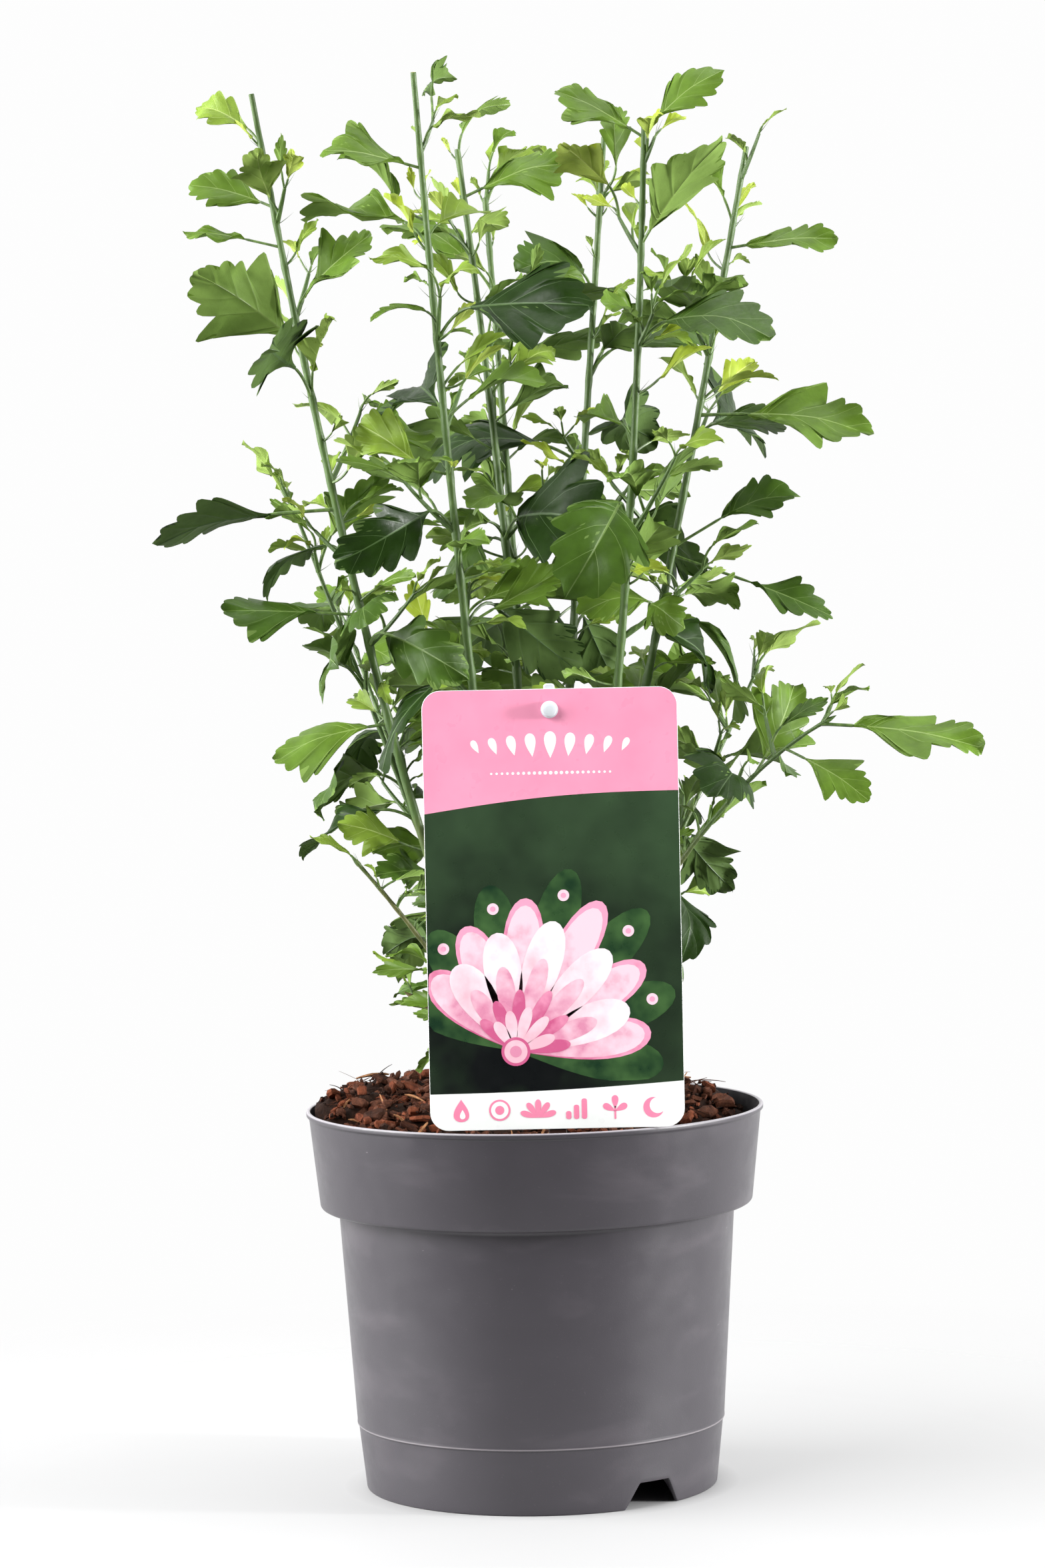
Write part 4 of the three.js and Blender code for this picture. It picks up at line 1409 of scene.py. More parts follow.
@dataclass(frozen=True)
class StemFinish:
    """Green young bark, browner towards the foot, with lengthwise stripes."""

    green: Colour = linear(64, 90, 35)
    pale: Colour = linear(106, 132, 66)
    light: Colour = linear(84, 110, 48)
    brown: Colour = linear(92, 76, 46)
    brown_below: float = 0.245
    green_above: float = 0.42

    def bark(self, name: str = "cane_bark") -> bpy.types.Material:
        """The bark of canes.

        Args:
            name: the material's name.

        Returns:
            The material.
        """
        shader = Shader(name)
        stripes = shader.noise(700, stretch=(1, 1, 0.035))
        green = shader.ramp(stripes, (0.3, shade(self.green, 0.86)), (0.55, self.green), (0.75, self.light))
        brown = shader.ramp(
            stripes, (0.32, shade(self.brown, 0.62)), (0.5, self.brown), (0.7, shade(self.brown, 1.5)),
        )
        rise = shader.span(shader.height(), self.brown_below, self.green_above, 0, 1)
        factor = shader.span(shader.patchy(shader.noise(60, 4), rise, clamp=True), 0.3, 0.95, 0, 1)
        shader.feed(shader.surface.inputs["Base Color"], shader.blend(factor, brown, green))
        shader.satin(shader.noise(500), 0.46, 0.62)
        shader.bump(stripes, 0.00035, 0.7)
        shader.bump(shader.noise(1600, 2), 0.00012, 0.5)
        return shader.material

    def stalk(self) -> bpy.types.Material:
        """The smooth stalks and young twigs.

        Returns:
            The material.
        """
        shader = Shader("leaf_stalk")
        ends = (0.35, shade(self.green, 0.85)), (0.65, toward(self.green, self.pale, 0.6))
        shader.tint(shader.noise(420, 2, stretch=(1, 1, 0.2)), *ends)
        shader.satin(shader.noise(700), 0.4, 0.55)
        return shader.material


@dataclass(frozen=True)
class WoodFinish:
    """Woody bark of the stock, and the pale wood of pruning cuts."""

    bark: Colour = linear(112, 92, 68)
    wood: Colour = linear(196, 178, 138)
    pith: Colour = linear(226, 214, 184)

    def stock(self) -> bpy.types.Material:
        """Grey-brown bark with fissures.

        Returns:
            The material.
        """
        shader = Shader("stock_bark")
        fissures = shader.noise(300, 6, 0.65, stretch=(1, 1, 0.22), warp=0.6)
        shader.tint(fissures, (0.32, shade(self.bark, 0.4)), (0.48, self.bark), (0.72, shade(self.bark, 1.9)))
        shader.satin(shader.noise(400), 0.75, 0.92)
        shader.bump(fissures, 0.0012, 0.9)
        return shader.material

    def cut(self) -> bpy.types.Material:
        """A weathered pruning cut.

        Returns:
            The material.
        """
        shader = Shader("pruning_cut")
        rings = shader.noise(900, 4, 0.7)
        shader.tint(rings, (0.3, shade(self.wood, 0.6)), (0.55, self.wood), (0.75, self.pith))
        shader.feed(shader.surface.inputs["Roughness"], 0.8)
        shader.bump(rings, 0.0002, 0.6)
        return shader.material


@dataclass(frozen=True)
class PotFinish:
    """Dark grey moulded plastic with a satin skin, faint flow marks, dust and a few nicks."""

    grey: Colour = linear(56, 53, 58)
    light: Colour = linear(70, 66, 71)
    # Colour of nicks and scratches, and also of the painted highlight along the seam.
    nick_and_seam_highlight: Colour = linear(150, 144, 147)
    # Colour of the painted highlight along the top of the lip.
    lip: Colour = linear(168, 164, 170)

    def material(self, pot: PotSize) -> bpy.types.Material:
        """The pot's plastic, with painted highlights along its seam and its lip.

        Args:
            pot: the pot's sizes.

        Returns:
            The material.
        """
        shader = Shader("pot_plastic")
        flow = shader.noise(16, 4, stretch=(1, 1, 2.6), warp=0.4)
        ends = (0.3, shade(self.grey, 0.93)), (0.75, shade(self.light, 0.95))
        wear_and_painted_highlight = shader.ramp(flow, ends[0], (0.55, self.grey), ends[1])
        scratches = shader.noise(110, 2, stretch=(0.5, 0.5, 1.8), warp=1.2)
        for factor, colour in (
            (shader.span(shader.noise(900, 1), 0.7, 0.76, 0, 0.5), self.light),
            (shader.span(scratches, 0.77, 0.81, 0, 0.5), self.nick_and_seam_highlight),
            # Painted highlights: a bright line along the seam and another along the top of the lip.
            (shader.band((pot.seam + 0.3) * MM, 0.6 * MM, 0.5), self.nick_and_seam_highlight),
            (shader.band(pot.height * MM, 0.8 * MM, 0.9), self.lip),
        ):
            wear_and_painted_highlight = shader.blend(factor, wear_and_painted_highlight, colour)
        shader.feed(shader.surface.inputs["Base Color"], wear_and_painted_highlight)
        shader.satin(shader.noise(60, 5, 0.65), 0.3, 0.42)
        shader.bump(shader.noise(1500, 2), 0.00006, 0.5)
        shader.bump(shader.noise(24, 2), 0.0009, 0.25)
        return shader.material

    def inside(self) -> bpy.types.Material:
        """The inner wall, painted far darker than the outside as shade, in uneven patches.

        Returns:
            The material.
        """
        shader = Shader("pot_inside")
        dark_patches = shader.noise(70, 4, stretch=(1, 1, 1.6), warp=0.5)
        # Painted shade: the inner wall is tinted to a third or a half of the pot's grey.
        shader.tint(dark_patches, (0.35, shade(self.grey, 0.3)), (0.7, shade(self.grey, 0.5)))
        shader.satin(shader.noise(120), 0.6, 0.85, 0.15)
        return shader.material


@dataclass(frozen=True)
class EarthFinish:
    """A shade of bark or peat."""

    name: str
    dark: Colour
    light: Colour

    def material(self) -> bpy.types.Material:
        """Fibrous, rough and moist.

        Returns:
            The material.
        """
        shader = Shader(f"compost_{self.name}")
        fibre = shader.noise(420, 6, 0.7, stretch=(1, 0.35, 0.6), warp=0.5)
        shader.tint(fibre, (0.3, self.dark), (0.55, toward(self.dark, self.light, 0.5)), (0.75, self.light))
        shader.satin(shader.noise(300), 0.6, 0.92, 0.1)
        shader.bump(fibre, 0.0009, 0.8)
        return shader.material


EARTHS = (
    EarthFinish("peat", linear(17, 9, 6), linear(48, 28, 19)),
    EarthFinish("bark_red", linear(54, 24, 14), linear(128, 70, 46)),
    EarthFinish("bark_brown", linear(42, 22, 15), linear(108, 66, 48)),
    EarthFinish("bark_dark", linear(28, 14, 9), linear(74, 42, 28)),
    EarthFinish("splinter", linear(98, 62, 38), linear(176, 130, 92)),
)


@dataclass(frozen=True)
class InkFinish:
    """One printed colour under a clear gloss, which may fade outwards from the spray's heart."""

    first: Colour
    second: Colour
    patch: float = 40
    spread: tuple[float, float] = (0.35, 0.65)
    fade: float = 0

    def material(self, name: str, heart: Array) -> bpy.types.Material:
        """The ink, with its soft change of shade and the film's fine texture.

        Args:
            name: the ink's name.
            heart: the spray's heart, in metres.

        Returns:
            The material.
        """
        shader = Shader(f"print_{name}")
        tint = shader.noise(self.patch)
        if self.fade:
            tint = shader.patchy(tint, shader.span(shader.distance(heart), 0, self.fade, -0.1, 0.4))
        shader.tint(tint, (self.spread[0], self.first), (self.spread[1], self.second))
        shader.satin(shader.noise(120), 0.26, 0.34, 0.35)
        return shader.material


class Ink(Enum):
    """The label's inks."""

    WHITE = InkFinish(linear(226, 228, 226), linear(232, 234, 232))
    PINK = InkFinish(linear(222, 140, 168), linear(227, 147, 174))
    FIELD = InkFinish(linear(8, 11, 12), linear(58, 82, 54), 26, (0.3, 0.92), 0.15)
    LEAF = InkFinish(linear(20, 46, 28), linear(60, 92, 50), 60)
    BLUSH = InkFinish(linear(206, 132, 160), linear(229, 196, 208), 120, fade=0.075)
    PETAL = InkFinish(linear(220, 172, 186), linear(229, 217, 223), 90, fade=0.065)
    ROSE = InkFinish(linear(190, 86, 128), linear(226, 152, 180), 110, fade=0.08)
    MARK = InkFinish(linear(224, 124, 156), linear(228, 132, 162))

    def material(self, heart: Array = AXIS) -> bpy.types.Material:
        """The ink's material."""
        return self.value.material(self.name.lower(), heart)


@dataclass(frozen=True)
class StickFinish:
    """White moulded plastic."""

    white: Colour = linear(196, 202, 206)
    soil: Colour = linear(44, 25, 17)
    soiled_below: float = 0.1925

    def material(self) -> bpy.types.Material:
        """The stick's plastic, soiled where it stands in the compost.

        Returns:
            The material.
        """
        shader = Shader("stick_plastic")
        clean = shader.ramp(shader.noise(50), (0.3, shade(self.white, 0.95)), (0.7, self.white))
        low = shader.span(shader.height(), self.soiled_below - 0.001, self.soiled_below, 1, 0)
        shader.feed(shader.surface.inputs["Base Color"], shader.blend(low, clean, self.soil))
        shader.satin(shader.noise(200), 0.3, 0.42)
        shader.bump(shader.noise(1200, 1), 0.00003, 0.4)
        return shader.material


# ---------------------------------------------------------------- leaf patterns
@dataclass(frozen=True)
class Tooth:
    """One tooth of a half blade: its tip, the notch beyond it, and where its vein leaves the midrib."""

    tip: tuple[float, float]
    notch: tuple[float, float]
    root: float
    main: bool = False


@dataclass(frozen=True)
class Column:
    """A line of points from the midrib to the margin."""

    margin: Array
    root: float
    lift: float
    vein: bool = False


@dataclass(frozen=True)
class BladeForm:
    """A half blade: the end of its plain wedge and the rounded teeth from there to the apex."""

    wedge: tuple[float, float]
    teeth: tuple[Tooth, ...]


class Outline(Enum):
    """The blades' outlines, as shares of the length."""

    LOBED = BladeForm((0.36, 0.220), (
        Tooth((0.462, 0.322), (0.500, 0.300), 0.120),
        Tooth((0.596, 0.402), (0.606, 0.188), 0.165, True),
        Tooth((0.722, 0.250), (0.752, 0.180), 0.350),
        Tooth((0.866, 0.186), (0.886, 0.112), 0.560),
        Tooth((0.964, 0.082), (0.972, 0.048), 0.780),
    ))
    FAN = BladeForm((0.44, 0.256), (
        Tooth((0.566, 0.366), (0.604, 0.330), 0.135),
        Tooth((0.716, 0.404), (0.730, 0.232), 0.200, True),
        Tooth((0.846, 0.262), (0.868, 0.166), 0.380),
        Tooth((0.956, 0.126), (0.966, 0.070), 0.640),
    ))
    ROUND = BladeForm((0.30, 0.184), (
        Tooth((0.414, 0.290), (0.456, 0.262), 0.120),
        Tooth((0.562, 0.344), (0.588, 0.214), 0.175, True),
        Tooth((0.724, 0.266), (0.758, 0.194), 0.360),
        Tooth((0.888, 0.168), (0.908, 0.098), 0.600),
    ))
    LONG = BladeForm((0.36, 0.165), (
        Tooth((0.480, 0.270), (0.514, 0.172), 0.140, True),
        Tooth((0.650, 0.250), (0.682, 0.168), 0.310),
        Tooth((0.816, 0.204), (0.838, 0.140), 0.520),
        Tooth((0.940, 0.100), (0.950, 0.055), 0.740),
    ))
    YOUNG = BladeForm((0.40, 0.160), (
        Tooth((0.546, 0.226), (0.584, 0.168), 0.150, True),
        Tooth((0.734, 0.190), (0.760, 0.122), 0.380),
        Tooth((0.900, 0.094), (0.914, 0.050), 0.640),
    ))


class LeafPattern:
    """A blade's fine flat pattern: grid points of both halves, both sides, and their faces."""

    SLOTS = UPPER, LOWER, RIB = 0, 1, 2
    SHOULDERS = ((0.1, 1.0, 0.3), (0.3, 0.5, 0.05), (0.7, -0.5, 0.05), (0.9, -1.0, 0.3))
    BOW = 0.2
    VEIN_ROOT, VEIN_TIP = 0.0034, 0.0012
    RIB_BASE, RIB_TIP = 0.011, 0.003
    WEDGE_STEPS = (0.2, 0.45, 0.72, 1.0)
    WEDGE_BULGE = -0.03
    LAST_ROOT, LAST_SHARE, LAST_PULL = 0.93, 0.42, (0.585, 0.006)
    MAIN_VEIN = 1.5

    def __init__(self, form: BladeForm, rows: int) -> None:
        """Lay out the pattern.

        Args:
            form: the right half's outline.
            rows: grid steps from the midrib to the margin.
        """
        self.rows = rows
        self.columns = self.lay_columns(form)
        self.grid: list[tuple[float, ...]] = []
        self.faces: list[Face] = []
        self.slots: list[int] = []
        self.lay_upper()
        self.top = len(self.grid)
        self.lay_lower()
        self.u, self.v, self.lift, self.share, self.half = np.array(self.grid).T

    def lay_columns(self, form: BladeForm) -> list[Column]:
        """The columns of the right half, from the base to the apex.

        Args:
            form: the right half's outline.

        Returns:
            The columns, without the base and apex points themselves.
        """
        columns: list[Column] = []
        before, teeth = vector(*form.wedge), form.teeth
        outward = unit(vector(-before[1], before[0]))
        for share in self.WEDGE_STEPS:
            spot = before * share + outward * (self.WEDGE_BULGE * 4 * share * (1 - share))
            columns.append(Column(spot, teeth[0].root * share * 0.75, 0.3))
        for i, tooth in enumerate(teeth):
            tip, notch = vector(*tooth.tip), vector(*tooth.notch)
            after = teeth[i + 1].root if i + 1 < len(teeth) else self.LAST_ROOT
            spread = min(tooth.root - columns[-1].root, after - tooth.root) * 0.3
            pull = tip * 2 - (before + notch) / 2
            edge = [
                Column(quadratic(before, pull, notch, t), tooth.root - spread * back, lift)
                for t, back, lift in self.SHOULDERS
            ]
            way = unit(notch - before) * self.VEIN_TIP
            half = min(self.VEIN_ROOT * (self.MAIN_VEIN if tooth.main else 1), spread * 0.4)
            vein = [Column(tip - way, tooth.root - half, -1, True), Column(tip + way, tooth.root + half, -1)]
            columns += [*edge[:2], *vein, *edge[2:], Column(notch, (tooth.root + after) / 2, 0.6)]
            before = notch
        columns.append(Column(before * self.LAST_SHARE + vector(*self.LAST_PULL), 0.96, 0.2))
        return columns

    def point(self, *place: float) -> int:
        """Add a grid point and give its number: along, across, lift, share of the way out, half."""
        self.grid.append(place)
        return len(self.grid) - 1

    def lay_upper(self) -> None:
        """Lay the upper side: the midrib's strip and both halves."""
        base = self.point(0, 0, 0, 0, 0)
        apex = self.point(1, 0, 0, 1, 0)
        centre = [self.point(c.root, 0, -0.6, 0, 0) for c in self.columns]
        for side in (1, -1):
            grid = [self.lay_column(column, side) for column in self.columns]
            self.fan(base, grid[0], side, True)
            self.fan(apex, grid[-1], side, False)
            self.face((base, grid[0][0], centre[0]), side, self.RIB)
            self.face((centre[-1], grid[-1][0], apex), side, self.RIB)
            for j in range(len(grid) - 1):
                self.face((centre[j], grid[j][0], grid[j + 1][0], centre[j + 1]), side, self.RIB)
                slot = self.RIB if self.columns[j].vein else self.UPPER
                for k in range(self.rows):
                    corners = (grid[j][k], grid[j][k + 1], grid[j + 1][k + 1], grid[j + 1][k])
                    self.face(corners, side, slot)

    def lay_column(self, column: Column, side: int) -> list[int]:
        """Lay one column's points from the midrib's edge to the margin, and give their numbers.

        Args:
            column: the column.
            side: 1 for the right half, -1 for the left.

        Returns:
            The points' numbers.
        """
        rib = self.RIB_TIP + (self.RIB_BASE - self.RIB_TIP) * (1 - column.root)
        start = vector(column.root, rib)
        numbers = []
        for k in range(self.rows + 1):
            share = k / self.rows
            spot = start + (column.margin - start) * share
            bow = self.BOW * share * (1 - share) * column.margin[1]
            lift = column.lift * math.sin(math.pi * min(1, share * 0.85 + 0.08))
            numbers.append(self.point(spot[0] - bow, side * (spot[1] + bow * 0.25), lift, share, side))
        return numbers

    def face(self, corners: Face, side: int, slot: int) -> None:
        """Add a face of the upper side, with its winding turned over on the left half."""
        self.faces.append(corners if side > 0 else corners[::-1])
        self.slots.append(slot)

    def fan(self, corner: int, column: Sequence[int], side: int, at_base: bool) -> None:
        """Close the pattern between its base or apex and the column next to it."""
        for a, b in zip(column, column[1:]):
            self.face((corner, b, a) if at_base else (corner, a, b), side, self.UPPER)

    def lay_lower(self) -> None:
        """Mirror the upper side's faces onto a lower side that shares its base, apex and margin."""
        inner = [i for i, place in enumerate(self.grid) if i > 1 and place[3] < 1]
        below = {i: self.point(*self.grid[i]) for i in inner}
        for face, slot in list(zip(self.faces, self.slots)):
            self.faces.append(tuple(below.get(i, i) for i in face[::-1]))
            self.slots.append(self.RIB if slot == self.RIB else self.LOWER)


@dataclass(frozen=True)
class BladeMaker:
    """Turns placed leaves into fine blades."""

    thick: float = 0.42
    rib_thick: float = 0.55
    relief: float = 0.0017
    wave: Span = Span(0.024, 0.092)
    wave_count: Span = Span(0.8, 2.1)
    sway: Span = Span(0.0, 0.15)
    lean: Span = Span(-0.13, 0.13)
    cup: Span = Span(-1.25, 0.4)
    droop: Span = Span(-0.04, 0.22)
    droop_from: Span = Span(0.45, 1.15)
    full_thick: float = 50

    def blade(self, leaf: Leaf, pattern: LeafPattern, dice: Dice) -> Array:
        """The points of one blade.

        Args:
            leaf: the placed leaf.
            pattern: its flat pattern.
            dice: its own numbers.

        Returns:
            The pattern's points in place, in millimetres.
        """
        sway, lean = self.sway.either_way(dice), self.lean.pick(dice)
        u, share, half = pattern.u, pattern.share, pattern.half
        v = pattern.v * (1 + lean * half) + sway * u * u * (1 - 0.3 * share)
        wave, count, cup = self.wave.pick(dice), self.wave_count.pick(dice), self.cup.pick(dice)
        phase = np.where(half > 0, dice.roll(), dice.roll()) * 2 * math.pi
        ripple = wave * share**1.4 * np.sin(2 * math.pi * count * u + phase)
        length = leaf.length
        points, lift = leaf.spread(u * length, v * length * leaf.width)
        nod = self.droop.pick(dice) * smooth_step(u, self.droop_from.least, self.droop_from.most)
        rise = (ripple + self.relief * pattern.lift + cup * pattern.v**2 - nod) * length
        points = points + lift * rise[:, None]
        lower = np.arange(pattern.top, len(u))
        vein = np.clip(-pattern.lift[lower], 0, 1)
        depth = self.thick * (1 - 0.6 * share[lower]) + self.rib_thick * vein * (1 - share[lower])
        points[lower] -= lift[lower] * (depth * min(1, length / self.full_thick))[:, None]
        return points


# ---------------------------------------------------------------- the plant's pieces
class Foliage:
    """All leaves, in one piece for each mass of the solids."""

    ROWS = 4
    YOUNG_ROWS = 2
    SMALL_SHARE = 0.8
    LEAF_SEED = 7919
    SHAPES = (Outline.LOBED, Outline.FAN, Outline.ROUND, Outline.LONG)

    def __init__(self, plant: Plant) -> None:
        """Prepare the patterns and the materials of every green.

        Args:
            plant: the grown plant.
        """
        self.plant = plant
        self.maker = BladeMaker()
        self.patterns = {shape: LeafPattern(shape.value, self.ROWS) for shape in self.SHAPES}
        self.young = LeafPattern(Outline.YOUNG.value, self.YOUNG_ROWS)
        self.materials = [material for tone in Tone for material in tone.materials()]

    def build(self) -> None:
        """Build each cane's leaves as one piece."""
        for cane in self.plant.canes:
            buffer = MeshBuffer()
            for index, leaf in enumerate(self.plant.leaves):
                if leaf.mass == cane.name:
                    self.add_leaf(buffer, leaf, Dice(self.LEAF_SEED + index))
            name = f"leaves_{cane.name}"
            buffer.build(name, Slot.FOLIAGE, self.materials, 75, [f"foliage_{cane.name}"])

    def add_leaf(self, buffer: MeshBuffer, leaf: Leaf, dice: Dice) -> None:
        """Add one blade in its own outline and green.

        Args:
            buffer: what it is added to.
            leaf: the placed leaf.
            dice: its numbers.
        """
        small = leaf.length < YOUNG_BELOW * self.SMALL_SHARE
        pattern = self.young if small else self.patterns[dice.choice(self.SHAPES)]
        first = list(Tone).index(tone_of(leaf.age, dice)) * len(LeafPattern.SLOTS)
        points = self.maker.blade(leaf, pattern, dice)
        buffer.add(points, pattern.faces, [first + slot for slot in pattern.slots])


@dataclass(frozen=True)
class Twigs:
    """Side twigs, leaf stalks and stipules, in one piece for each cane."""

    plant: Plant
    sides: int = 6
    stalk_rings: int = 7
    twig_rings: int = 6
    bow: float = -0.03
    full_leaf: float = 62
    slender: Span = Span(0.42, 0.9)
    stipule: Span = Span(4.5, 7.5)
    stipule_rise: Span = Span(20, 62)
    stipule_turn: float = 38
    stipule_radius: float = 0.28

    def build(self) -> None:
        """Build each cane's twigs and stalks."""
        finish = StemFinish()
        materials = [finish.bark("twig_bark"), finish.stalk()]
        for cane in self.plant.canes:
            buffer = MeshBuffer()
            for twig in self.plant.twigs:
                if twig.mass == cane.name:
                    self.add_twig(buffer, twig)
            for leaf in self.plant.leaves:
                if leaf.mass == cane.name:
                    self.add_stalk(buffer, leaf)
            for index, node in enumerate(self.plant.nodes):
                if node.cane is cane:
                    self.add_stipules(buffer, node, Dice(cane.seed * SEED_STEP + index))
            buffer.build(f"twigs_{cane.name}", Slot.CANE, materials, 50)

    def add_twig(self, buffer: MeshBuffer, twig: Limb) -> None:
        """Add a tapering twig with a slight bow.

        Args:
            buffer: what it is added to.
            twig: the twig.
        """
        t = np.linspace(0, 1, self.twig_rings)
        bow = vector(0, 0, self.bow * float(np.linalg.norm(twig.b - twig.a)))
        path = twig.a + (twig.b - twig.a) * t[:, None] + bow * (4 * t * (1 - t))[:, None]
        buffer.add_tube(path, twig.radius * (1.12 - 0.42 * t), self.sides, 0)

    def add_stalk(self, buffer: MeshBuffer, leaf: Leaf) -> None:
        """Add a leaf's stalk, from its node into the blade's midrib.

        Args:
            buffer: what it is added to.
            leaf: the leaf.
        """
        reach = float(np.linalg.norm(leaf.base - leaf.start))
        bend = leaf.base - leaf.out * (0.4 * reach)
        end = leaf.base + leaf.out * min(2.5, 0.05 * leaf.length)
        t = np.linspace(0, 1, self.stalk_rings)
        scale = self.slender.at(min(1, leaf.length / self.full_leaf))
        swell = 1 + 0.35 * np.exp(-((t / 0.14) ** 2)) + 0.15 * np.exp(-(((1 - t) / 0.12) ** 2))
        radii = STALK_RADIUS * scale * swell * (1 - 0.6 * smooth_step(t, 0.86, 1))
        buffer.add_tube(quadratic(leaf.start, bend, end, t[:, None]), radii, self.sides, 1)

    def add_stipules(self, buffer: MeshBuffer, node: Node, dice: Dice) -> None:
        """Add a pair of fine bristles beside a node.

        Args:
            buffer: what it is added to.
            node: the node.
            dice: its numbers.
        """
        for turn in (-self.stipule_turn, self.stipule_turn):
            way = heading(node.bearing + turn, self.stipule_rise.pick(dice))
            length = self.stipule.pick(dice) + node.cane.habit.radii[1]
            curl = heading(node.bearing + turn * 1.6, 74) * (0.25 * length)
            t = np.linspace(0, 1, 4)[:, None]
            path = node.at + way * length * t + curl * t * t
            buffer.add_tube(path, self.stipule_radius * (1.05 - t[:, 0]), 3, 1)


@dataclass(frozen=True)
class CaneStems:
    """The canes as whole limbs with bark relief, node swellings and pruned tips."""

    plant: Plant
    sides: int = 14
    step: float = 3.2
    slender: float = 0.72
    swelling: float = 0.2
    swelling_reach: float = 3.5
    ridges: int = 5
    ridge_depth: float = 0.022
    ridge_wander: Span = Span(0.01, 0.025)
    cut_edge: tuple[float, float] = (0.82, 0.35)
    bud: tuple[tuple[float, float], ...] = ((1.25, 1.2), (1.1, 3.0), (0.6, 5.0), (0.12, 6.6))

    def build(self) -> None:
        """Build each cane as a piece that stands for its solid."""
        materials = [StemFinish().bark(), WoodFinish().cut()]
        for cane in self.plant.canes:
            buffer = MeshBuffer()
            self.add_cane(buffer, cane)
            buffer.build(f"stem_{cane.name}", Slot.CANE, materials, 50, [f"cane_{cane.name}"])

    def add_cane(self, buffer: MeshBuffer, cane: Cane) -> None:
        """Add one cane from the stock to its tip.

        Args:
            buffer: what it is added to.
            cane: the cane.
        """
        path = self.plant.paths[cane.name]
        line = path.curve(np.linspace(0, 1, int(path.length / self.step) + 1))
        along = run_along(line)
        radii = path.radius(along) * self.slender * (1 + self.swellings(cane, line))
        dice = Dice(cane.seed)
        lean, wobble = dice.roll() * 6, self.ridge_wander.pick(dice)

        def relief(ring: int, angle: Array) -> Array:
            """Lengthwise ridges that wander a little.

            Args:
                ring: the ring's number.
                angle: bearings round it.

            Returns:
                The radius's factor at each bearing.
            """
            place = along[ring]
            ridge = self.ridge_depth * np.cos(self.ridges * angle + lean + place * wobble)
            fine = 0.018 * np.sin(11 * angle + place * 0.31 + lean) + 0.02 * np.sin(place * 0.9 + 3 * angle)
            return 1 + ridge + fine

        points = tube(line, radii, self.sides, relief)
        faces = sweep_sides(len(line), self.sides) + sweep_ends(len(line), self.sides)[:1]
        buffer.add(points, faces)
        self.add_tip(buffer, cane, points[-self.sides:], line)

    def swellings(self, cane: Cane, line: Array) -> Array:
        """How much wider the cane is at each of its rings, from the nodes near it.

        Args:
            cane: the cane.
            line: the middles of its rings.

        Returns:
            The extra share of the radius.
        """
        extra = np.zeros(len(line))
        for node in self.plant.nodes:
            if node.cane is cane:
                gap = np.linalg.norm(line - node.at, axis=1)
                extra += self.swelling * np.exp(-((gap / self.swelling_reach) ** 2))
        return np.minimum(extra, self.swelling)

    def add_tip(self, buffer: MeshBuffer, cane: Cane, ring: Array, line: Array) -> None:
        """Close the tip: a slanting pruning cut on an upright cane, a bud on a shoot.

        Args:
            buffer: what it is added to.
            cane: the cane.
            ring: its last ring.
            line: the middles of its rings.
        """
        centre, way, n = ring.mean(axis=0), unit(line[-1] - line[-2]), self.sides
        if cane.habit.stub:
            inner = centre + (ring - centre) * self.cut_edge[0] + way * self.cut_edge[1]
            middle = centre + way * 0.1
            face = [(n + j, n + (j + 1) % n, 2 * n) for j in range(n)]
            points = np.concatenate([ring, inner, middle[None]])
            buffer.add(points, sweep_sides(2, n) + face, [0] * n + [1] * n)
            return
        bud = [ring, *(centre + (ring - centre) * share + way * reach for share, reach in self.bud)]
        buffer.add(np.concatenate(bud), sweep_sides(len(bud), n) + sweep_ends(len(bud), n)[1:])


@dataclass(frozen=True)
class Stock:
    """The short woody stock, flared at its foot and knobbed where the canes leave it."""

    size: StockSize
    sides: int = 40
    rings: int = 34
    knob: float = 0.09

    def build(self) -> None:
        """Build the stock."""
        s = self.size
        heights = np.array([0, 4, 9, s.height - 9, s.height - 4, s.height - 0.8, s.height])
        radii = np.array([s.flare, s.waist + 1.4, s.waist, s.head, s.head - 1, s.head * 0.6, 0.3])
        along = np.linspace(0, 1, self.rings) ** 0.9 * s.height
        angle = bearings(self.sides)
        rings = []
        for height, radius in zip(along, np.interp(along, heights, radii)):
            share = height / s.height
            lumps = np.sin(3 * angle + height * 0.21) + 0.6 * np.sin(5 * angle - height * 0.4 + 1)
            fine = 0.35 * np.sin(13 * angle + height * 1.3) + 0.25 * np.sin(21 * angle - height * 2.1)
            reach = radius * (1 + self.knob * (lumps + fine) * (0.4 + 0.6 * share))
            rings.append(circle(reach, s.foot + height, angle) + vector(s.lean * share, 0, 0))
        buffer = MeshBuffer()
        buffer.add(np.concatenate(rings), closed_sweep(self.rings, self.sides))
        buffer.build("stock_bark", Slot.STOCK, [WoodFinish().stock()], 60, ["trunk"])


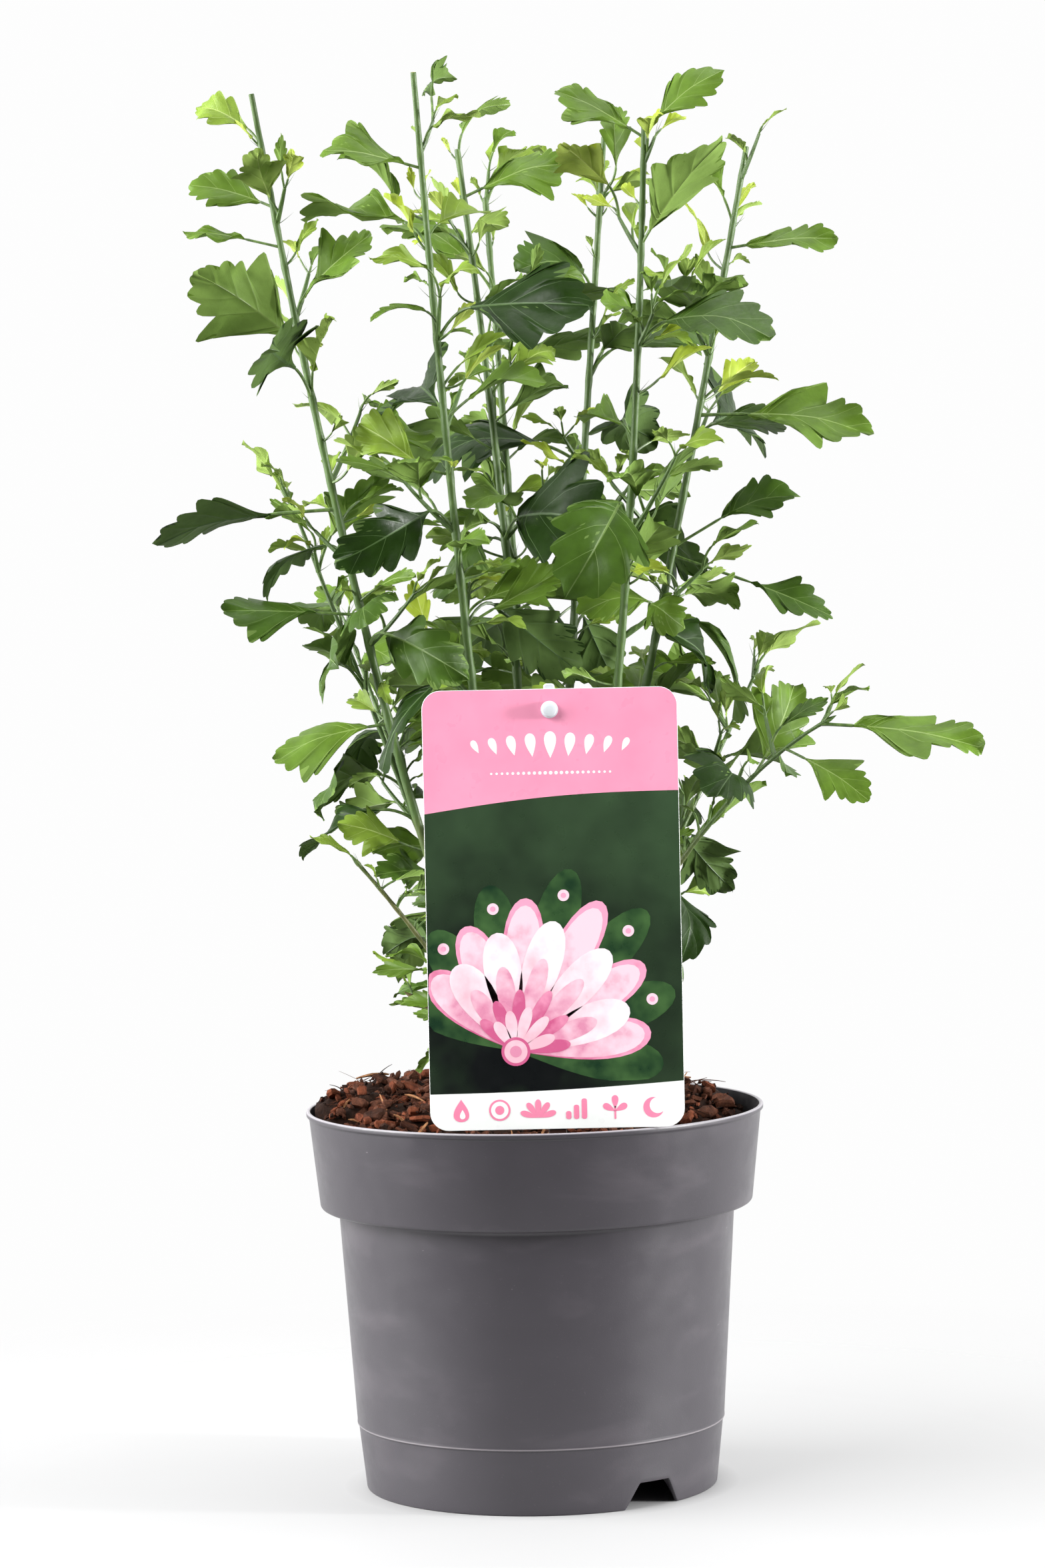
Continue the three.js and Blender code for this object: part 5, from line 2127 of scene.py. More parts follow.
# ---------------------------------------------------------------- pot
@dataclass(frozen=True)
class NurseryPot:
    """The moulded pot: one wall swept round the axis, raised over the drainage notches."""

    size: PotSize
    notch: NotchSize
    sides: int = 180
    skirt: float = 20

    def build(self) -> None:
        """Build the pot."""
        profile, angles = self.profile(), self.angles()
        lifts = np.array([self.lift_at(a) for a in angles])
        rings = [self.ring(r, z, outer, angles, lifts) for r, z, outer in profile]
        n = len(angles)
        faces = closed_sweep(len(rings), n)
        lip = max(i for i, (_, z, _) in enumerate(profile) if z > self.size.height - 1)
        slots = [int(lip * n <= i < (len(rings) - 1) * n) for i in range(len(faces))]
        buffer = MeshBuffer()
        buffer.add(np.concatenate(rings), faces, slots)
        finish = PotFinish()
        buffer.build("pot_shell", Slot.POT, [finish.material(self.size), finish.inside()], 32, ["pot"])

    def profile(self) -> list[tuple[float, float, bool]]:
        """The wall's profile as radius, height and whether it is on the outside.

        Returns:
            The corners, from the middle of the floor out, up and back in.
        """
        p, w = self.size, self.size.wall
        outside = rounded([
            (p.base_radius - w - 5, p.floor, 0), (p.base_radius - w, 0, 0.4), (p.base_radius, 0, 1.1),
            (p.seam_radius - p.seam_step, p.seam - 0.9, 0.3), (p.seam_radius + 0.1, p.seam, 0.35),
            (p.seam_radius, p.seam + 1.6, 0.8), (p.body_top_radius, p.band_foot - 2, 2.4),
            (p.body_top_radius + 1.5, p.band_foot, 1.2), (p.band_foot_radius - 0.6, p.band_foot, 2.2),
            (p.band_top_radius, p.height - 3.2, 1.2), (p.rim_radius - 0.1, p.height - 2.2, 0.6),
            (p.rim_radius, p.height, 0.8), (p.rim_radius - 2, p.height, 0.5),
            (p.band_top_radius - w, p.height - 4, 2),
        ], 4)
        inside = rounded([
            (p.band_top_radius - w, p.height - 4, 0), (p.band_foot_radius - w, p.band_foot + 4, 2),
            (p.body_top_radius, p.band_foot + w, 1), (p.body_top_radius - w, p.band_foot - 1, 2),
            (p.seam_radius - w, p.seam, 1), (p.base_radius - w + 0.6, p.floor + w, 1),
            (0.5, p.floor + w, 0),
        ], 2)
        start = [(0.5, p.floor, False)]
        foot = [(r, z, r > p.base_radius - w - 0.5) for r, z in self.refined(outside)]
        return start + foot + [(r, z, False) for r, z in inside[1:]]

    def refined(self, outline: Array) -> list[tuple[float, float]]:
        """The outline with extra points up the skirt, so that it bends round the notches.

        Args:
            outline: the outer outline.

        Returns:
            Its points.
        """
        points = []
        for (r0, z0), (r1, z1) in zip(outline, outline[1:]):
            parts = 6 if abs(z1 - z0) > 10 and min(z0, z1) < self.skirt else 1
            points += [(r0 + (r1 - r0) * i / parts, z0 + (z1 - z0) * i / parts) for i in range(parts)]
        return points + [tuple(outline[-1])]

    def angles(self) -> Array:
        """Bearings of the sweep, closer together at the notches' edges.

        Returns:
            The bearings, in radians.
        """
        notch, plain = self.notch, bearings(self.sides)
        widths = np.linspace(notch.top_width / 2 - 1.2, notch.bottom_width / 2 + 1.2, 12)
        swings = np.concatenate([widths, -widths]) / self.size.base_radius
        extra = np.concatenate([(centre + swings) % math.tau for centre in self.notch_bearings()])
        gaps = np.abs((plain[:, None] - extra[None] + math.pi) % math.tau - math.pi)
        return np.sort(np.concatenate([plain[gaps.min(axis=1) > 0.004], extra]))

    def notch_bearings(self) -> list[float]:
        """The notches' middles, in radians."""
        notch = self.notch
        return [math.radians(notch.bearing + 360 / notch.count * i) for i in range(notch.count)]

    def lift_at(self, angle: float) -> float:
        """How high the foot's edge is raised at a bearing.

        Args:
            angle: the bearing, in radians.

        Returns:
            The lift in millimetres.
        """
        widest, narrowest = self.notch.bottom_width / 2, self.notch.top_width / 2
        lift = 0.0
        for centre in self.notch_bearings():
            off = abs((angle - centre + math.pi) % math.tau - math.pi) * self.size.base_radius
            share = np.clip((widest - off) / (widest - narrowest), 0, 1)
            lift = max(lift, self.notch.height * float(share))
        return min(lift, self.notch.height - 0.05)

    def ring(self, radius: float, height: float, outer: bool, angles: Array, lifts: Array) -> Array:
        """One ring of the sweep, squeezed upwards over the notches.

        Args:
            radius: its radius.
            height: its height away from the notches.
            outer: whether it is on the outside.
            angles: the bearings.
            lifts: the foot's lift at each bearing.

        Returns:
            Its points.
        """
        p = self.size
        room = self.skirt if outer else p.floor
        if height >= room:
            return circle(radius, height, angles)
        heights = lifts + height * (room - lifts) / room
        slope = (p.seam_radius - p.base_radius) / p.seam if outer else 0
        return circle(radius + (heights - height) * slope, heights, angles)


# ---------------------------------------------------------------- compost
@dataclass(frozen=True)
class CompostBed:
    """The lumpy bed of peat with bark chips, crumbs, fibres and splinters on it."""

    size: CompostSize
    pot: PotSize
    sides: int = 144
    rings: int = 46
    chips: int = 640
    crumbs: int = 1900
    fibres: int = 460
    splinters: int = 48
    heaps: tuple[tuple[float, float, float, float], ...] = ((-78, 16, 42, 8), (76, 44, 30, 12))
    chip_length: Span = Span(4.5, 18)
    chip_breadth: Span = Span(0.4, 0.8)
    chip_thick: Span = Span(1.6, 4.6)
    chip_lift: Span = Span(0.1, 0.75)
    chip_corner: Span = Span(0.62, 1.1)
    chip_ragged: Span = Span(0.9, 1.1)
    chip_levels: tuple[tuple[float, float], ...] = ((-0.5, 0.8), (-0.15, 1.0), (0.28, 0.96), (0.5, 0.74))
    crumb_size: Span = Span(0.6, 2.0)
    crumb_lift: Span = Span(0.2, 2.2)
    fibre_length: Span = Span(8, 26)
    fibre_curl: Span = Span(0.1, 0.5)
    fibre_radius: Span = Span(0.12, 0.3)
    fibre_lift: Span = Span(1.6, 4.2)
    splinter_length: Span = Span(9, 18)
    splinter_radius: Span = Span(0.5, 1.1)
    flat_tilt: float = 34
    any_tilt: float = 60
    seed: int = 31

    def top(self, x: Array, y: Array) -> Array:
        """Height of the bed at places in its plan, as in its solid.

        Args:
            x: places across.
            y: places from front to back.

        Returns:
            The heights.
        """
        s = self.size
        r = np.hypot(x, y)
        mound = s.crown + (s.edge - s.crown) * (r / (self.pot.band_top_radius - 4)) ** 2
        lean = s.lean * (y - x) * math.sqrt(0.5) / self.pot.rim_radius
        lump = np.sin(x * 0.11 + 1.3) * np.sin(y * 0.13 + 0.4) + 0.6 * np.sin(x * 0.23 - y * 0.19)
        away = np.clip((r - s.flat) / s.flat, 0, 1)
        heaps = sum(
            height * np.exp(-((x - at_x) ** 2 + (y - at_y) ** 2) / (2 * reach**2))
            for at_x, at_y, reach, height in self.heaps
        )
        return mound + away * (lean + s.lump * lump + heaps)

    def rough(self, x: Array, y: Array) -> Array:
        """Small lumps of peat, in millimetres.

        Args:
            x: places across.
            y: places from front to back.

        Returns:
            What they add to the height.
        """
        fine = np.sin(x * 0.71 + 2 * np.sin(y * 0.37)) * np.sin(y * 0.83 + 1.7 * np.sin(x * 0.41))
        finer = np.sin(x * 1.9 + y * 0.6) * np.sin(y * 2.1 - x * 0.8)
        return 1.1 * fine + 0.45 * finer

    def build(self) -> None:
        """Build the bed and what lies on it."""
        materials = [earth.material() for earth in EARTHS]
        dice = Dice(self.seed)
        self.build_bed(materials)
        self.build_chips(materials, dice)
        self.build_crumbs(materials, dice)
        self.build_fibres(materials, dice)

    def build_bed(self, materials: Sequence[bpy.types.Material]) -> None:
        """Build the bed as one closed form down to the pot's floor.

        Args:
            materials: the shades of earth.
        """
        p, angle = self.pot, bearings(self.sides)
        rings = []
        for radius in np.linspace(0.4, p.band_top_radius - p.wall - 1.2, self.rings):
            ring = circle(radius, 0, angle)
            x, y = ring[:, 0], ring[:, 1]
            ring[:, 2] = self.top(x, y) + self.rough(x, y)
            rings.append(ring)
        for radius, height in (
            (p.band_foot_radius - 1, p.band_foot + 6), (p.body_top_radius - 0.6, p.band_foot),
            (p.seam_radius - 0.6, p.seam), (p.base_radius - 0.6, p.floor + p.wall + 0.5),
            (p.wall + 0.4, p.floor + p.wall + 0.5),
        ):
            rings.append(circle(radius - p.wall, height, angle))
        buffer = MeshBuffer()
        faces = closed_sweep(len(rings), self.sides)
        buffer.add(np.concatenate(rings), [face[::-1] for face in faces])
        buffer.build("compost_bed", Slot.COMPOST, materials[:1], 60, ["compost"])

    def spot(self, dice: Dice, margin: float, inner: float) -> tuple[float, float]:
        """A place on the bed by chance, evenly spread.

        Args:
            dice: the numbers.
            margin: how far it keeps from the wall.
            inner: how far it keeps from the middle.

        Returns:
            X and Y.
        """
        edge = self.pot.band_top_radius - self.pot.wall - 1.5 - margin
        radius = math.sqrt(Span(inner**2, edge**2).pick(dice))
        angle = 2 * math.pi * dice.roll()
        return radius * math.cos(angle), radius * math.sin(angle)

    def above(self, spot: tuple[float, float], lift: float) -> Array:
        """The point over a place on the bed, lifted by so much."""
        x, y = spot
        return vector(x, y, float(self.top(vector(x), vector(y))[0]) + lift)

    def axes(self, dice: Dice, tilt: float) -> tuple[Array, Array, Array]:
        """Three axes of a piece that lies on the bed, tilted by up to so many degrees.

        Args:
            dice: the numbers.
            tilt: the most that it is tilted.

        Returns:
            Its length, breadth and thickness axes.
        """
        along = heading(360 * dice.roll(), tilt * (2 * dice.roll() - 1))
        side = turned(unit(np.cross(vector(0, 0, 1), along)), along, tilt * (2 * dice.roll() - 1))
        return along, side, np.cross(along, side)

    def build_chips(self, materials: Sequence[bpy.types.Material], dice: Dice) -> None:
        """Build the bark chips: broken flat slabs of several sizes and browns.

        Args:
            materials: the shades of earth.
            dice: the numbers.
        """
        buffer = MeshBuffer()
        for _ in range(self.chips):
            length = self.chip_length.at(dice.roll() ** 1.8)
            breadth, thick = length * self.chip_breadth.pick(dice), self.chip_thick.pick(dice)
            spot = self.spot(dice, length / 2 + 1, 13)
            along, side, up = self.axes(dice, self.flat_tilt)
            centre = self.above(spot, thick * self.chip_lift.pick(dice))
            n = 5 + int(3 * dice.roll())
            turns = [2 * math.pi * (j + 0.7 * dice.roll()) / n for j in range(n)]
            corners = [(turn, self.chip_corner.pick(dice)) for turn in turns]
            points = []
            for level, scale in self.chip_levels:
                for turn, far in corners:
                    reach = scale * far * self.chip_ragged.pick(dice) / 2
                    flat = along * (math.cos(turn) * length) + side * (math.sin(turn) * breadth)
                    rise = (level + 0.14 * (dice.roll() - 0.5)) * thick
                    points.append(centre + flat * reach + up * rise)
            buffer.add(np.array(points), closed_sweep(len(self.chip_levels), n), dice.choice((1, 1, 2, 2, 3)))
        buffer.build("bark_chips", Slot.COMPOST, materials, 25)

    def build_crumbs(self, materials: Sequence[bpy.types.Material], dice: Dice) -> None:
        """Build the crumbs of peat and bark between the chips.

        Args:
            materials: the shades of earth.
            dice: the numbers.
        """
        buffer = MeshBuffer()
        upper = [(0, 1, 4), (1, 2, 4), (2, 3, 4), (3, 0, 4)]
        faces = upper + [(b, a, 5) for a, b, _ in upper]
        for _ in range(self.crumbs):
            centre = self.above(self.spot(dice, 2, 11), self.crumb_lift.pick(dice))
            size = self.crumb_size.pick(dice)
            along, side, up = self.axes(dice, self.any_tilt)
            ends = (along, side, -along, -side, up, -up)
            points = [centre + end * size * Span(0.6, 1.4).pick(dice) for end in ends]
            buffer.add(np.array(points), faces, dice.choice((0, 0, 3, 2)))
        buffer.build("compost_crumbs", Slot.COMPOST, materials, 20)

    def build_fibres(self, materials: Sequence[bpy.types.Material], dice: Dice) -> None:
        """Build the peat's fibres, and the pale splinters that stand out of it.

        Args:
            materials: the shades of earth.
            dice: the numbers.
        """
        buffer = MeshBuffer()
        for index in range(self.fibres + self.splinters):
            splinter = index >= self.fibres
            length = (self.splinter_length if splinter else self.fibre_length).pick(dice)
            spot = self.spot(dice, length / 2 + 1, 14)
            along, side, up = self.axes(dice, self.any_tilt if splinter else self.flat_tilt)
            centre = self.above(spot, self.fibre_lift.pick(dice))
            t = np.linspace(-0.5, 0.5, 7)[:, None]
            curl = 0 if splinter else self.fibre_curl.either_way(dice)
            path = centre + along * length * t + side * (curl * length) * t * t - up * length * 0.25 * t * t
            thick = (self.splinter_radius if splinter else self.fibre_radius).pick(dice)
            earth = 4 if splinter else dice.choice((0, 3, 2))
            buffer.add_tube(path, thick * (1.1 - 1.3 * np.abs(t[:, 0])), 4, earth)
        buffer.build("compost_fibres", Slot.COMPOST, materials, 40)


# ---------------------------------------------------------------- label
Outline2 = Array


def arc(x: float, z: float, radius: float, start: float, end: float, steps: int) -> list[tuple[float, float]]:
    """Points of an arc in the card's plane, between two angles in degrees."""
    turns = np.radians(np.linspace(start, end, steps + 1))
    return [(x + radius * math.cos(a), z + radius * math.sin(a)) for a in turns]


def rounded_plate(x0: float, x1: float, z0: float, z1: float, radius: float, steps: int = 8) -> Outline2:
    """The outline of a rectangle with round corners, anticlockwise from its lower right.

    Args:
        x0: its left.
        x1: its right.
        z0: its foot.
        z1: its top.
        radius: the corners' radius.
        steps: the stretches of each corner.

    Returns:
        The outline.
    """
    left, right, low, high = x0 + radius, x1 - radius, z0 + radius, z1 - radius
    corners = ((right, low, -90), (right, high, 0), (left, high, 90), (left, low, 180))
    return np.array([p for x, z, turn in corners for p in arc(x, z, radius, turn, turn + 90, steps)])


def disc(x: float, z: float, radius: float, steps: int = 40) -> Outline2:
    """The outline of a disc."""
    return np.array(arc(x, z, radius, 0, 360, steps)[:-1])


def drop(x: float, z: float, length: float, breadth: float, angle: float) -> Outline2:
    """The outline of a drop.

    Args:
        x: place of its pointed end.
        z: height of its pointed end.
        length: from its point to its round end.
        breadth: across its widest part.
        angle: the way that it points away from its pointed end, in degrees.

    Returns:
        The outline.
    """
    t, a = bearings(30), math.radians(angle)
    along = (1 - np.cos(t)) / 2 * length
    across = np.sin(t) * np.sin(t / 2) ** 1.3 * breadth * 0.62
    shape = [x + along * math.cos(a) + across * math.sin(a), z + along * math.sin(a) - across * math.cos(a)]
    return np.stack(shape, 1)[::-1]


class Plate(MeshBuffer):
    """A mesh buffer for flat forms in the card's upright plane."""

    @staticmethod
    def area(outline: Outline2) -> float:
        """Signed area, positive where the outline runs anticlockwise in X and Z."""
        x, z = outline[:, 0], outline[:, 1]
        return float((x * np.roll(z, -1) - np.roll(x, -1) * z).sum() / 2)

    def cap(self, outlines: Sequence[Outline2], y: float, towards_front: bool, slot: int = 0) -> None:
        """Add a flat face from an outline and its holes.

        Args:
            outlines: the outer outline, then any holes.
            y: the plane that it lies in.
            towards_front: whether it faces the label's reader.
            slot: the material's place.
        """
        faces = [tuple(range(len(outlines[0])))]
        if len(outlines) > 1:
            faces = tessellate_polygon([[Vector((x, z, 0)) for x, z in outline] for outline in outlines])
        flat = np.concatenate(outlines)
        turned_over = [(self.area(flat[list(face)]) > 0) != towards_front for face in faces]
        faces = [tuple(face)[::-1] if back else tuple(face) for face, back in zip(faces, turned_over)]
        self.add(np.insert(flat, 1, y, axis=1), faces, slot)

    def wall(self, first: Outline2, y0: float, second: Outline2, y1: float, slot: int = 0) -> None:
        """Add the strip between two outlines of the same number of points."""
        ends = [np.insert(first, 1, y0, axis=1), np.insert(second, 1, y1, axis=1)]
        self.add(np.concatenate(ends), [face[::-1] for face in sweep_sides(2, len(first))], slot)

    def slab(self, outlines: Sequence[Outline2], front: float, back: float, slot: int) -> None:
        """Add a closed flat form from an outline and its holes, between two planes.

        Args:
            outlines: the outer outline, then any holes.
            front: the plane of its face.
            back: the plane of its back.
            slot: the material's place.
        """
        loops = [o if (self.area(o) > 0) == (i == 0) else o[::-1] for i, o in enumerate(outlines)]
        self.cap(loops, front, True, slot)
        self.cap(loops, back, False, slot)
        for loop in loops:
            self.wall(loop, front, loop, back, slot)

    def eased(self, outlines: Sequence[Outline2], front: float, back: float, edge: float) -> None:
        """Add a plate with eased edges.

        Args:
            outlines: the outer outline, then any holes.
            front: the plane of its face.
            back: the plane of its back.
            edge: how far its edges are eased.
        """
        outline, *holes = outlines
        rim = inset(outline, edge)
        self.cap([rim, *holes], front, True)
        self.cap([rim, *holes], back, False)
        self.wall(rim, front, outline, front + edge)
        self.wall(outline, front + edge, outline, back - edge)
        self.wall(outline, back - edge, rim, back)
        for hole in holes:
            self.wall(hole, front, hole, back)


def inset(outline: Outline2, by: float) -> Outline2:
    """An outline drawn in towards its middle by a distance at each point.

    Args:
        outline: an outline that runs anticlockwise.
        by: the distance.

    Returns:
        The inner outline.
    """
    before, after = np.roll(outline, 1, axis=0), np.roll(outline, -1, axis=0)
    way = after - before
    normal = np.stack([-way[:, 1], way[:, 0]], 1)
    return outline + unit(normal) * by


# The small marks on the label's foot, from left to right: each is inks with their forms, laid in turn.
Layers = tuple[tuple[Ink, tuple[Outline2, ...]], ...]
MARKS: tuple[Layers, ...] = (
    ((Ink.MARK, (drop(0, 5.6, 11, 8.4, -90),)), (Ink.WHITE, (drop(0.6, 0.6, 4.6, 3, -90),))),
    ((Ink.MARK, (disc(0, 0, 5.2),)), (Ink.WHITE, (disc(0, 0, 4.2),)), (Ink.MARK, (disc(0, 0, 2.2),))),
    ((Ink.MARK, tuple(drop(0, -4, 9, 3.4, angle) for angle in (18, 54, 90, 126, 162))),),
    ((Ink.MARK, tuple(
        rounded_plate(left, left + 2.6, -5, height - 5, 1.1, 4)
        for left, height in ((-5.2, 4), (-1.4, 7), (2.4, 10))
    )),),
    ((Ink.MARK, (
        rounded_plate(-0.45, 0.45, -5.4, 1, 0.4, 2), drop(0, -1.5, 6.6, 3.6, 30),
        drop(0, -0.3, 6.6, 3.6, 90), drop(0, -1.5, 6.6, 3.6, 150),
    )),),
    ((Ink.MARK, (disc(0, 0, 5),)), (Ink.WHITE, (disc(2, 1, 3.9),))),
)
# The spray's fans, from the back to the front: ink, angles, length of the drops and their breadth.
WIDE_FAN, NARROW_FAN = (137, 111, 85, 59, 33, 7), (124, 98, 72, 46, 20)
FANS = (
    (Ink.LEAF, (150, 124, 98, 72, 46, 20, -6), 98, 0.24),
    (Ink.ROSE, WIDE_FAN, 84, 0.26),
    (Ink.BLUSH, WIDE_FAN, 80, 0.235),
    (Ink.PETAL, NARROW_FAN, 70, 0.29),
    (Ink.BLUSH, NARROW_FAN, 50, 0.2),
    (Ink.ROSE, WIDE_FAN, 34, 0.2),
    (Ink.PETAL, NARROW_FAN, 24, 0.26),
)


@dataclass(frozen=True)
class PlantLabel:
    """The printed card: a pink head, a dark field with a spray of drops, and a white foot."""

    size: LabelSize
    edge: float = 0.15
    film: float = 0.05
    heart: tuple[float, float] = (42, 38)
    head_left: float = 0.279
    head_right: float = 0.235
    foot_left: float = 0.084
    foot_right: float = 0.105
    flourish_below: float = 27
    drop_step: float = 8.6
    dots_below: float = 13.5
    dot_step: float = 2.6
    first_mark: tuple[float, float] = (15, 9.6)
    mark_step: float = 18.6

    def build(self) -> None:
        """Build the card with its round corners, eased edges and peg hole, and its print."""
        s = self.size
        card = Plate()
        outline = rounded_plate(s.left, s.right, s.foot, s.top, s.corner)
        card.eased([outline, self.hole()], s.front, s.front + s.thick, self.edge)
        card.build("label_card_body", Slot.LABEL, [Ink.WHITE.material()], 50, ["label_card"])
        films = Plate()
        self.print_bands(films)
        self.print_flourish(films)
        self.print_spray(films)
        self.print_marks(films)
        heart = vector(s.left + self.heart[0], s.front, s.foot + self.heart[1]) * MM + AXIS
        films.build("label_print", Slot.LABEL, [ink.material(heart) for ink in Ink], 60)

    def hole(self) -> Outline2:
        """The outline of the peg's hole."""
        s = self.size
        return disc(s.centre, s.top - s.hole_below, s.hole_radius)[::-1]

    def lay(self, plate: Plate, ink: Ink, layer: int, *outlines: Outline2) -> None:
        """Lay one film of ink, counted outwards from the card and bonded into its face."""
        front = self.size.front
        plate.slab(outlines, front - self.film * layer, front + self.film, list(Ink).index(ink))

    def sweep(self, left: float, right: float, bow: float) -> list[tuple[float, float]]:
        """A gentle curve across the card, from left to right.

        Args:
            left: its height at the left edge.
            right: its height at the right edge.
            bow: how far it rises over the straight line in the middle.

        Returns:
            Its points.
        """
        s = self.size
        x0, run = s.left + self.edge, s.width - 2 * self.edge
        shares = np.linspace(0, 1, 25)
        return [(x0 + t * run, left + (right - left) * t + bow * math.sin(math.pi * t)) for t in shares]

    def print_bands(self, plate: Plate) -> None:
        """Print the pink head and the dark field.

        Args:
            plate: what it is added to.
        """
        s = self.size
        head = self.sweep(s.top - self.head_left * s.height, s.top - self.head_right * s.height, 2.8)
        foot = self.sweep(s.foot + self.foot_left * s.height, s.foot + self.foot_right * s.height, -1.2)
        corner, high = s.corner - self.edge, s.top - s.corner
        right = arc(s.right - s.corner, high, corner, 0, 90, 8)
        left = arc(s.left + s.corner, high, corner, 90, 180, 8)
        self.lay(plate, Ink.PINK, 1, np.array(head + right + left), self.hole())
        self.lay(plate, Ink.FIELD, 1, np.array(head[::-1] + foot))

    def print_flourish(self, plate: Plate) -> None:
        """Print a white ornament of small drops over a row of dots on the pink head.

        Args:
            plate: what it is added to.
        """
        middle, x = self.size.top - self.flourish_below, self.size.centre
        for i in range(-4, 5):
            length = 13 - 1.5 * abs(i)
            shape = drop(x + i * self.drop_step, middle - length / 2, length, length / 2, 90 - i * 7)
            self.lay(plate, Ink.WHITE, 2, shape)
        for i in range(-11, 12):
            shape = disc(x + i * self.dot_step, middle - self.dots_below, 0.9 - 0.03 * abs(i), 12)
            self.lay(plate, Ink.WHITE, 2, shape)

    def print_spray(self, plate: Plate) -> None:
        """Print a fan of pale drops with leaf shapes behind it on the dark field.

        Args:
            plate: what it is added to.
        """
        x, z = self.size.left + self.heart[0], self.size.foot + self.heart[1]
        for layer, (ink, angles, length, breadth) in enumerate(FANS, start=2):
            for angle in angles:
                outline = drop(x, z, length * self.shorter(angle), length * breadth, angle)
                self.lay(plate, ink, layer, self.clipped(outline))
        for angle in NARROW_FAN:
            reach, a = 84 * self.shorter(angle), math.radians(angle)
            spot = (x + reach * math.cos(a), z + reach * math.sin(a))
            self.lay(plate, Ink.BLUSH, 3, disc(*spot, 2.8))
            self.lay(plate, Ink.ROSE, 4, disc(*spot, 1.3, 20))
        for layer, (ink, radius) in enumerate(((Ink.ROSE, 7), (Ink.PETAL, 5.6), (Ink.BLUSH, 2.8)), start=9):
            self.lay(plate, ink, layer, disc(x, z, radius))

    @staticmethod
    def shorter(angle: float) -> float:
        """How the fans' drops shorten away from their steepest one."""
        return 1 - 0.0042 * abs(angle - 58)

    def clipped(self, outline: Outline2) -> Outline2:
        """An outline held within the dark field.

        Args:
            outline: the outline.

        Returns:
            The outline with its overhang pressed flat.
        """
        s = self.size
        low = (s.left + 0.5, s.foot + self.foot_right * s.height + 0.5)
        high = (s.right - 0.5, s.top - self.head_left * s.height - 1.5)
        return np.clip(outline, low, high)

    def print_marks(self, plate: Plate) -> None:
        """Print a row of small plain marks on the white foot.

        Args:
            plate: what it is added to.
        """
        for i, layers in enumerate(MARKS):
            across, up = self.first_mark
            place = vector(self.size.left + across + self.mark_step * i, self.size.foot + up)
            for layer, (ink, outlines) in enumerate(layers, start=2):
                for outline in outlines:
                    self.lay(plate, ink, layer, outline + place)


@dataclass(frozen=True)
class LabelStick:
    """The white stick behind the card, ribbed down its back, with a domed peg through the hole."""

    size: StickSize
    label: LabelSize
    edge: float = 0.5
    tip_share: float = 0.6
    tip_above: float = 2.4
    rib: float = 0.5
    neck: float = 2.6
    dome: tuple[tuple[float, float], ...] = (
        (3.9, 0), (4.2, 0.3), (4.1, 1.2), (3.5, 1.4), (3.4, 3), (3.1, 3.5), (2, 3.8), (0.5, 3.9),
    )

    def build(self) -> None:
        """Build the stick and its peg."""
        s, card = self.size, self.label
        front = card.front + card.thick + s.gap
        back = front + s.thick
        plate = Plate()
        plate.eased([self.outline()], front, back, self.edge)
        rib = rounded_plate(card.centre - 1, card.centre + 1, s.foot + 6, card.top - 6, 0.9, 4)
        plate.wall(rib, back, inset(rib, 0.3), back + self.rib)
        plate.cap([inset(rib, 0.3)], back + self.rib, False)
        self.add_peg(plate, front)
        plate.build("label_stick_body", Slot.STICK, [StickFinish().material()], 40, ["label_stick"])

    def outline(self) -> Outline2:
        """The stick's outline, drawn in where it comes out over the card.

        Returns:
            The outline, anticlockwise from its lower right.
        """
        s, card = self.size, self.label
        half, tip, top = s.width / 2, s.width * self.tip_share / 2, card.top + self.tip_above
        right = arc(half - 3, s.foot + 3, 3, -90, 0, 6)
        right += [(half, card.top - 10), (tip, card.top - 3)]
        right += arc(tip - 1.6, top - 1.6, 1.6, 0, 90, 6)
        left = [(-x, z) for x, z in reversed(right)]
        return np.array([*right, *left]) + vector(card.centre, 0)

    def add_peg(self, plate: Plate, front: float) -> None:
        """Add the peg's neck and its domed head, drawn by its radii and depths.

        Args:
            plate: what it is added to.
            front: the plane of the stick's face.
        """
        card = self.label
        x, z, face = card.centre, card.top - card.hole_below, card.front - self.size.gap
        neck = disc(x, z, self.neck)
        plate.wall(neck, face, neck, front)
        rings = [(disc(x, z, radius), face - depth) for radius, depth in self.dome]
        plate.cap([rings[0][0]], face, False)
        for (near, y0), (far, y1) in zip(rings, rings[1:]):
            plate.wall(far, y1, near, y0)
        plate.cap([rings[-1][0]], rings[-1][1], True)


# ---------------------------------------------------------------- studio
@dataclass(frozen=True)
class SoftLight:
    """A soft box: its place and aim in metres round the pot's axis, its size and its power."""

    name: str
    place: tuple[float, float, float]
    aim: tuple[float, float, float]
    width: float
    height: float
    power: float


